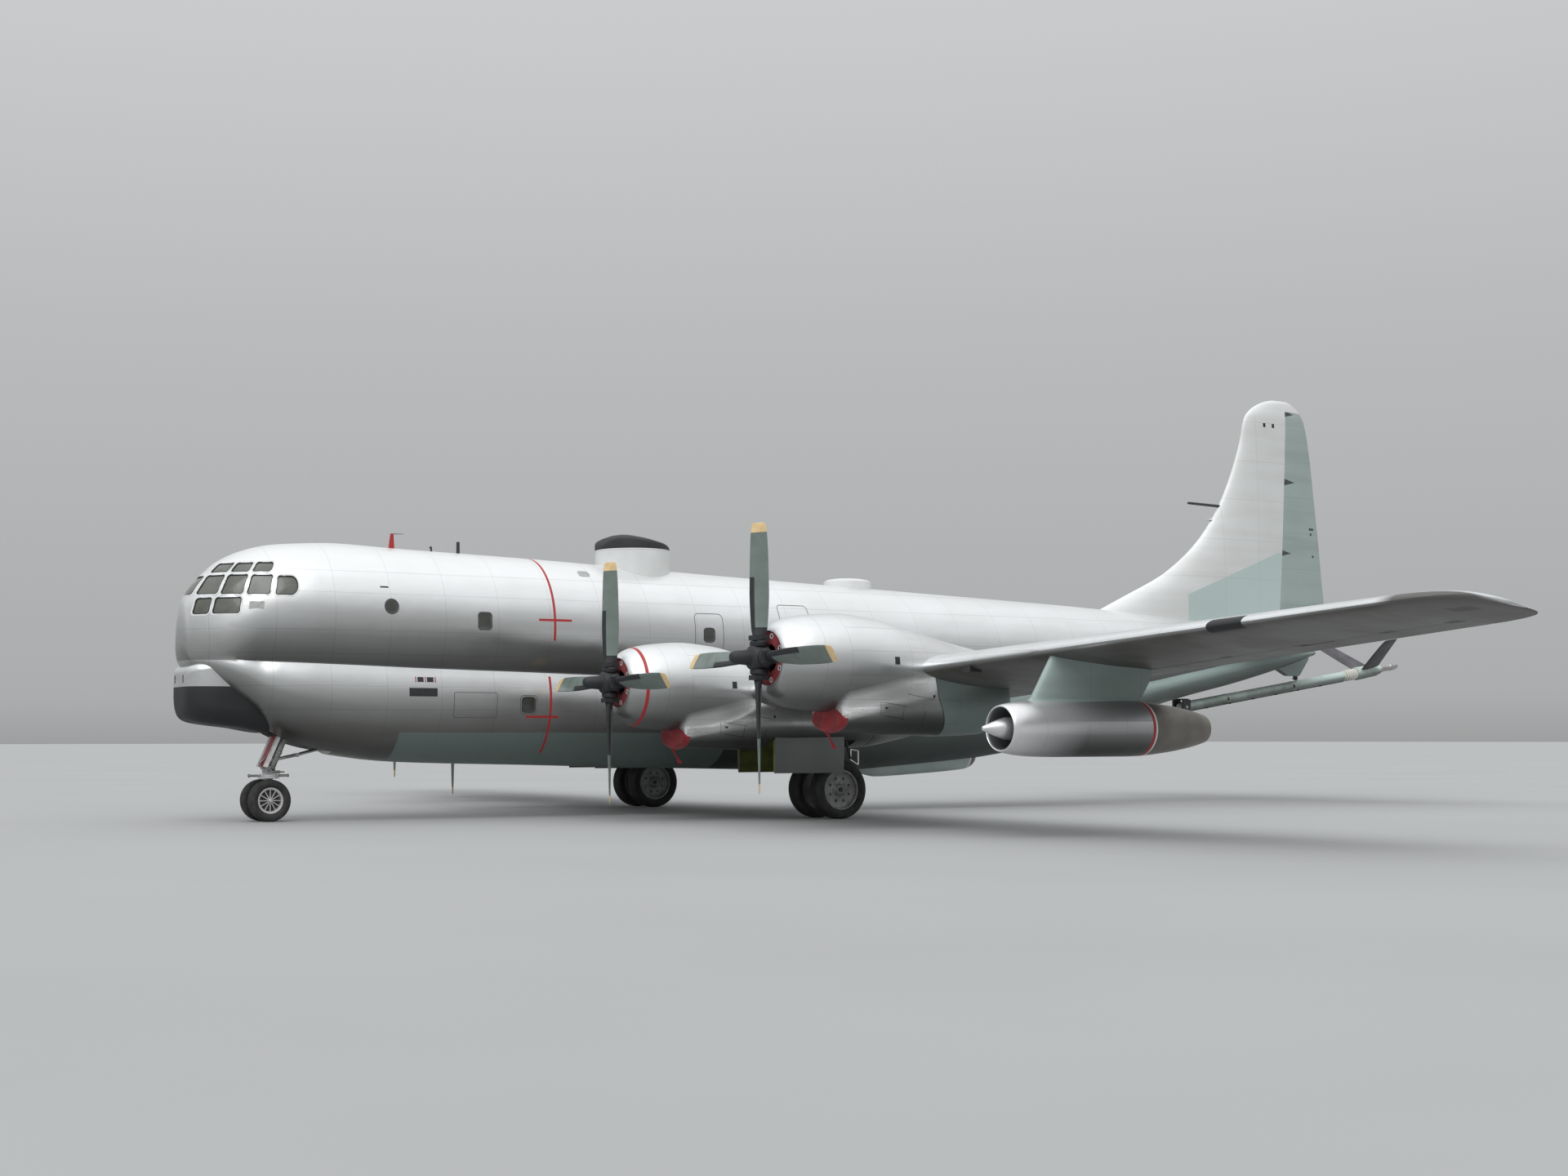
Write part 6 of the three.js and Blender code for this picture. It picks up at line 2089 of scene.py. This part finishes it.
print("tyre section", len(tyre_profile(**MAIN_WHEELS)), "points")

# %% [markdown]
# Each pair of wheels turns on one axle. A nose wheel has twelve thin spokes over a dark disc, which is
# painted shade in the wheel's hollow, and a main wheel eight holes round a boss with small bolts, cut out of
# a dished disc.

# %% Wheels and tyres in place
def nose_wheel_parts(side):
    half = NOSE_WHEELS["width"] / 2
    silver = [rim_shape(**NOSE_WHEELS)]
    silver.append(
        turned(
            [
                (half * 0.1, 3), (half * 0.1, 60), (half * 0.5, 56), (half * 0.62, 42), (half * 0.78, 34),
                (half * 0.82, 22), (half * 0.82, 3)
            ],
            32, "y"
        )
    )
    for i in range(12):
        a = 2 * math.pi * i / 12
        out, across = np.array([math.cos(a), 0, math.sin(a)]), np.array([-math.sin(a), 0, math.cos(a)])
        rings = []
        for reach, wide, deep in ((56, 11, 0.5), (150, 8, 0.46), (246, 10, 0.5)):
            rings.append([out * reach + across * wide * s + np.array([0, half * (deep - 0.12 * (1 - t)), 0])
                          for s, t in ((-1, 1), (1, 1), (1, -1), (-1, -1))])
        silver.append(skin([[tuple(p) for p in ring] for ring in rings]))
    # A dark disc behind the spokes: painted shade inside the wheel.
    dark = [
        turned(
            [(-half * 0.1, 3), (-half * 0.1, 228), (half * 0.12, 228), (half * 0.2, 80), (half * 0.2, 3)], 48,
            "y"
        )
    ]
    return [spin_outward(s, side) for s in silver], [spin_outward(s, side) for s in dark]


def main_web(side):
    half, rim = MAIN_WHEELS["width"] / 2, MAIN_WHEELS["rim"]
    web = local_body("web", turned([
        (-half * 0.05, 3), (-half * 0.05, rim - 52), (half * 0.42, rim - 50), (half * 0.30, 320),
        (half * 0.30, 200), (half * 0.36, 140),
        (
            half * 0.52, 108
        ), (half * 0.56, 92), (half * 0.56, 62), (half * 0.46, 56), (half * 0.46, 3)], 72, "y"))
    angles = [2 * math.pi * (i + 0.5) / 8 for i in range(8)]
    holes = [
        rod(
            (264 * math.cos(a), half * 0.1, 264 * math.sin(a)), (264 * math.cos(a), half, 264 * math.sin(a)),
            31, segments=24
        )
        for a in angles
    ]
    cut(web, local_body("holes", *holes))
    if side < 0:
        web.data.transform(Matrix.Diagonal((-1, -1, 1, 1)))
    return web


def main_bolts(side):
    half = MAIN_WHEELS["width"] / 2
    angles = [2 * math.pi * i / 8 for i in range(8)]
    bolts = [
        rod(
            (165 * math.cos(a), half * 0.26, 165 * math.sin(a)),
            (165 * math.cos(a), half * 0.38, 165 * math.sin(a)), 11, segments=6
        )
        for a in angles
    ]
    cap = turned(
        [(half * 0.4, 3), (half * 0.4, 50), (half * 0.52, 46), (half * 0.54, 30), (half * 0.54, 3)], 32, "y"
    )
    return [spin_outward(shape, side) for shape in bolts + [cap]]


def add_wheels(name, body, node, place, sizes, parts):
    """Tyres, rims and whatever fills the rims, for both wheels of a pair."""
    for side_name, side in SIDES.items():
        y = place[1] + side * sizes["spread"]
        tyre = set_at(local_body(f"{name}_tyre_{side_name}_skin", tyre_shape(sizes)), place[0], y, place[2])
        dress(tyre, body, "tyre_rubber", tyre_black, replaces=(f"{node}_tyre_{side_name}",))
        for made, slot, finish in parts(f"{name}_{side_name}", side):
            dress(set_at(made, place[0], y, place[2]), body, slot, finish)
    reach, axle = sizes["spread"] + sizes["width"] * 0.12, sizes["axle"]
    shaft = local_body(
        f"{name}_axle",
        turned(
            [
                (-reach, 3), (-reach, axle), (-90, axle), (-80, axle - 3), (80, axle - 3), (90, axle),
                (reach, axle), (reach, 3)
            ],
            40, "y"
        )
    )
    dress(set_at(shaft, *place), body, "gear_steel", gear_paint, replaces=(f"{node}_wheels",))


def nose_parts(name, side):
    silver, dark = nose_wheel_parts(side)
    yield local_body(f"{name}_rim", *silver), "bare_metal", wheel_silver
    yield local_body(f"{name}_hollow", *dark), "dark_metal", wheel_dark


def main_parts(name, side):
    yield local_body(f"{name}_rim", rim_shape(**MAIN_WHEELS)), "gear_steel", wheel_grey
    yield main_web(side), "gear_steel", wheel_grey
    yield local_body(f"{name}_bolts", *main_bolts(side)), "dark_metal", wheel_dark


NOSE_AXLE = (1950, 0, 457)
MAIN_AXLE_X, MAIN_AXLE_Z = 13660, 650
add_wheels("nose", "nose_wheel_pair", "nose", NOSE_AXLE, NOSE_WHEELS, nose_parts)
for side_name, side in SIDES.items():
    add_wheels(
        f"main_{side_name}", f"main_wheel_pair_{side_name}", f"main_{side_name}",
        (MAIN_AXLE_X, side * INBOARD_OUT, MAIN_AXLE_Z), MAIN_WHEELS, main_parts
    )
print("wheels made")

# %% [markdown]
# The nose leg is a leaning outer tube with clamped pipes. Behind it a brace in two halves meets at a
# knuckle. The steered part below it is a ring with a bar, a post and an arm down to the axle. The board in
# front is sheet folded at its edges, painted white with a red band down its middle.

# %% Nose gear
def bent_rod(points, radius, segments=10):
    """A thin pipe through several points, as joined short bars."""
    return [rod(a, b, radius, segments=segments) for a, b in zip(points[:-1], points[1:])]


def at_bar(start, end, profile, segments=32):
    """A turned shape between two points, its profile given in millimetres from the start."""
    points, faces = turned(profile, segments)
    start, end = Vector(start), Vector(end)
    turn = Vector((1, 0, 0)).rotation_difference(end - start).to_matrix()
    return [tuple(start + turn @ Vector(tuple(point))) for point in points], faces


leg_low, leg_top = (2030, 0, 1085), (2580, 0, 2390)
leg_profile = [
    (0, 3), (0, 88), (60, 96), (70, 108), (110, 108), (120, 97), (420, 97), (430, 110), (480, 110), (490, 99),
    (820, 101), (830, 114), (880, 114), (890, 104), (1380, 104), (1380, 3),
]
leg = [at_bar(leg_low, leg_top, leg_profile)]
strut = [
    turned(
        [
            (1042, 3), (1042, 112), (1052, 120), (1090, 120), (1100, 108), (1150, 104), (1160, 116),
            (1200, 116), (1208, 100), (1208, 3)
        ],
        40, "z", (2020, 0, 0)
    )
]
braces = []
for side in SIDES.values():
    braces += [
        rod((2090, side * 60, 1330), (2640, side * 95, 1440), 30),
        rod((2640, side * 95, 1440), (3260, side * 150, 1600), 26)
    ]
    braces.append(rod((2250, side * 60, 1600), (2560, side * 330, 2380), 20))
    braces += [
        rod((1930, side * 150, 1072), (2230, side * 150, 1072), 38, 34),
        rod((2230, side * 150, 1072), (2330, side * 150, 1072), 16, 16)
    ]
    braces += [block((2000, 2040), (side * 150 - 45, side * 150 + 45), (1045, 1120))]
braces += [
    rod((2640, -125, 1440), (2640, 125, 1440), 42), rod((2090, -85, 1330), (2090, 85, 1330), 44),
    rod((2250, -80, 1600), (2250, 80, 1600), 36)
]
braces += [rod((1925, 0, 1100), (1800, 0, 1240), 34, 26), rod((1800, 0, 1240), (1955, 0, 1400), 26, 34)]
dress(body_from("nose_leg", *leg, *strut), "airframe", "gear_steel", gear_paint, replaces=("nose_strut",))
dress(body_from("nose_braces", *braces), "airframe", "gear_steel", gear_paint)
pipes = bent_rod(
    [(1935, 60, 1130), (1960, 110, 1300), (2120, 112, 1560), (2300, 108, 1930), (2420, 100, 2320)], 9
)
pipes += bent_rod(
    [(1950, -70, 1120), (1990, -112, 1340), (2180, -110, 1640), (2360, -104, 2100), (2430, -95, 2320)], 8
)
dress(body_from("nose_pipes", *pipes), "airframe", "radome_black", rubber)

ring = body_from(
    "steering_ring",
    turned(
        [
            (930, 95), (930, 228), (937, 240), (975, 240), (979, 232), (985, 232), (989, 240), (1019, 240),
            (1025, 228), (1025, 95)
        ],
        64, "z", (2020, 0, 0)
    )
)
dress(ring, "nose_steering", "bare_metal", collar_silver, replaces=("nose_fork",))
steered = [rod((2020, 0, 640), (2020, 0, 1020), 88, 96, 40), rod((2020, 0, 690), (1950, 0, 457), 82, 78, 32)]
steered += [
    rod((2205, 0, 993), (2475, 0, 993), 30, 26),
    at_bar((2440, 0, 993), (2480, 0, 993), [(0, 3), (0, 34), (36, 34), (36, 3)], 24)
]
steered += [
    rod((1570, 0, 993), (1800, 0, 993), 24),
    at_bar((1560, 0, 993), (1600, 0, 993), [(0, 3), (0, 36), (40, 36), (40, 3)], 24)
]
dress(body_from("nose_post", *steered), "nose_steering", "gear_steel", gear_paint)
eye = body_from("nose_eye", turned([(-95, 50), (-95, 85), (95, 85), (95, 50)], 40, "y", (1950, 0, 457)))
dress(eye, "nose_steering", "gear_steel", gear_paint)


def board_paint():
    finish = Finish("board_paint", WHITE, 0.5)
    finish.paint(finish.math("LESS_THAN", finish.math("ABSOLUTE", finish.y), 0.175), RED, 0.0, 0.5)
    finish.tint(finish.spread(finish.noise(7, 4), 0.45, 0.7), (0.72, 0.7, 0.68))
    finish.emboss(finish.noise(30, 2), 0.5)
    return finish.done()


board = [
    skin([[(x, y, z)
    for x, z in ((1838, 1192), (1866, 1180), (2158, 1832), (2130, 1845))] for y in (-326, 326)])
]
for y in (-318, 318):
    low, high = sorted((y, y - math.copysign(16, y)))
    board.append(
        skin([[(x, edge, z)
        for x, z in ((1862, 1186), (1905, 1182), (2185, 1812), (2150, 1835))] for edge in (low, high)])
    )
dress(body_from("nose_board_skin", *board), "airframe", "board_red", board_paint(), replaces=("nose_board",))
print("nose gear made")

# %% [markdown]
# A main leg stands in its well with a brace forward, a pair of hinged links behind and a hose along it.
# Doors hang at both sides of the well. They are silver outside, painted dark grey as the shade under the
# nacelle, and primer green inside, pressed over ribs, and their upper edge follows the nacelle's belly. A
# bright frame of four rods and its arm stand beside each leg.

# %% Main gear and doors
def primer_paint():
    finish = plain_finish("primer_green", (0.15, 0.17, 0.04), 0.6, 0.0, 3, (0.55, 0.55, 0.5))
    add_seams(finish, finish.lines(finish.x, 0.3, 0.02), finish.lines(finish.z, 0.3, 0.02))
    return finish.done()


primer_green = primer_paint()
# Painted shade: the doors' silver is a dark grey, a shaded copy of the silver paint.
shaded_door_silver = weathered_and_shaded_paint("shaded_door_silver", (0.24, 0.25, 0.25), 0.42, 0.6, 2.5, 0.4).done()
DOOR_X, DOOR_Z = (11800, 13600), (1030, 1990)
DOOR_OUT = 785


def belly_at(x, reach):
    """How low the inboard nacelle's belly is at a distance from its middle."""
    _, _, engine_x, _, engine_z, _ = next(row for row in ENGINES if row[5])
    middle, high, wide = follow(INNER_DUCT, [x - engine_x])[0][:3]
    return engine_z + middle - high * math.sqrt(max(0.0, 1 - (reach / wide) ** 2))


def door_sheet(y, outward, near, far, grow):
    """A sheet from the well's edge down, curved a little towards its lower edge."""
    columns = []
    for x in np.linspace(DOOR_X[0] + grow, DOOR_X[1] - grow, 20):
        top = min(DOOR_Z[1], belly_at(x, DOOR_OUT) + 12)
        rows = []
        for share in np.linspace(0, 1, 9):
            z = DOOR_Z[0] + grow + (top - DOOR_Z[0] - grow) * share
            rows.append((x, z, 38 * (1 - share) ** 2))
        columns.append(rows)
    rings = []
    for rows in columns:
        ring = [(x, y + outward * (DOOR_OUT + far - bow), z) for x, z, bow in rows]
        ring += [(x, y + outward * (DOOR_OUT + near - bow), z) for x, z, bow in reversed(rows)]
        rings.append(ring)
    return skin(rings)


for side_name, side in SIDES.items():
    y = side * INBOARD_OUT
    top = WHEEL_WELL[2]
    legs = [
        at_bar(
            (MAIN_AXLE_X, y, MAIN_AXLE_Z + 50), (13602, y, top - 10),
            [
                (0, 3), (0, 112), (330, 116), (340, 134), (400, 134), (410, 122), (900, 126), (910, 142),
                (960, 142), (970, 132), (1405, 132), (1405, 3)
            ],
            40
        )
    ]
    legs += [
        rod((13630, y, 1070), (12260, y, top - 50), 58, 52),
        rod((13640, y - 120, 1060), (13640, y + 120, 1060), 70)
    ]
    legs += [block((12160, 12350), (y - 88, y + 88), (top - 90, top - 4))]
    links = []
    for edge in (-1, 1):
        links += [
            rod((13740, y + edge * 70, 1010), (13960, y + edge * 30, 1190), 26, 20),
            rod((13960, y + edge * 30, 1190), (13730, y + edge * 70, 1430), 20, 26)
        ]
    links += [
        rod((13960, y - 60, 1190), (13960, y + 60, 1190), 30),
        rod((13740, y - 105, 1010), (13740, y + 105, 1010), 32),
        rod((13730, y - 105, 1430), (13730, y + 105, 1430), 32)
    ]
    dress(
        body_from(f"main_leg_{side_name}", *legs), "airframe", "gear_steel", gear_paint,
        replaces=(f"main_strut_{side_name}",)
    )
    outside = side * 4950
    corners = [(13900, outside, 1550), (14100, outside, 1515), (14095, outside, 1200), (13890, outside, 1310)]
    frame_rods = [rod(corners[i], corners[i - 1], 20, segments=12) for i in range(4)]
    dress(body_from(f"door_link_{side_name}", *frame_rods), "airframe", "bare_metal", collar_silver)
    arm = rod((13760, outside, 1790), (13895, outside, 1330), 26, segments=12)
    dress(body_from(f"door_arm_{side_name}", arm), "airframe", "dark_metal", dark_metal)
    dress(body_from(f"main_links_{side_name}", *links), "airframe", "gear_steel", gear_paint)
    hose = bent_rod(
        [
            (13560, y + 150, 760), (13500, y + 170, 1010), (13490, y + 150, 1400), (13480, y + 150, 1800),
            (13470, y + 140, 2090)
        ],
        12
    )
    dress(body_from(f"main_hose_{side_name}", *hose), "airframe", "radome_black", rubber)
    eye = body_from(
        f"main_eye_{side_name}",
        turned(
            [(-150, 84), (-150, 140), (-140, 150), (140, 150), (150, 140), (150, 84)], 48, "y",
            (MAIN_AXLE_X, y, MAIN_AXLE_Z)
        )
    )
    dress(eye, "airframe", "gear_steel", gear_paint)
    for door_name, outward in (("outer", side), ("inner", -side)):
        name = f"gear_door_{door_name}_{side_name}"
        outside = body_from(f"{name}_skin", door_sheet(y, outward, 0, 22, 0))
        dress(outside, "airframe", "silver_skin", shaded_door_silver, replaces=(name,))
        ribs = [door_sheet(y, outward, -14, -1, 18)]
        low, high = sorted((y + outward * 715, y + outward * 784))
        ribs.append(block((DOOR_X[0] + 4, DOOR_X[0] + 22), (low, high), (DOOR_Z[0] + 30, 1760)))
        dress(body_from(f"{name}_lining", *ribs), "airframe", "sage_skin", primer_green)
print("main gear made")

# %% [markdown]
# The engines and the flight deck stay as the CAD's own bodies: the engines show only through the plug's
# holes, and the flight deck lies behind the opaque panes. They get real finishes all the same. Cast engine
# metal is dull and oily, and the cabin is a dark grey-green.

# %% Finishes of the bodies that stay
casting = plain_finish("engine_casting", (0.20, 0.20, 0.205), 0.5, 0.7, 5, (0.5, 0.45, 0.4)).done()
cabin = plain_finish("cabin_paint", (0.11, 0.13, 0.12), 0.7, 0.0, 4, (0.7, 0.7, 0.7)).done()
for node, finish in [(f"engine_{number}", casting) for number in (1, 2, 3, 4)] + [("flight_deck", cabin)]:
    made = bpy.data.objects[node]
    made.data.materials.clear()
    made.data.materials.append(finish)
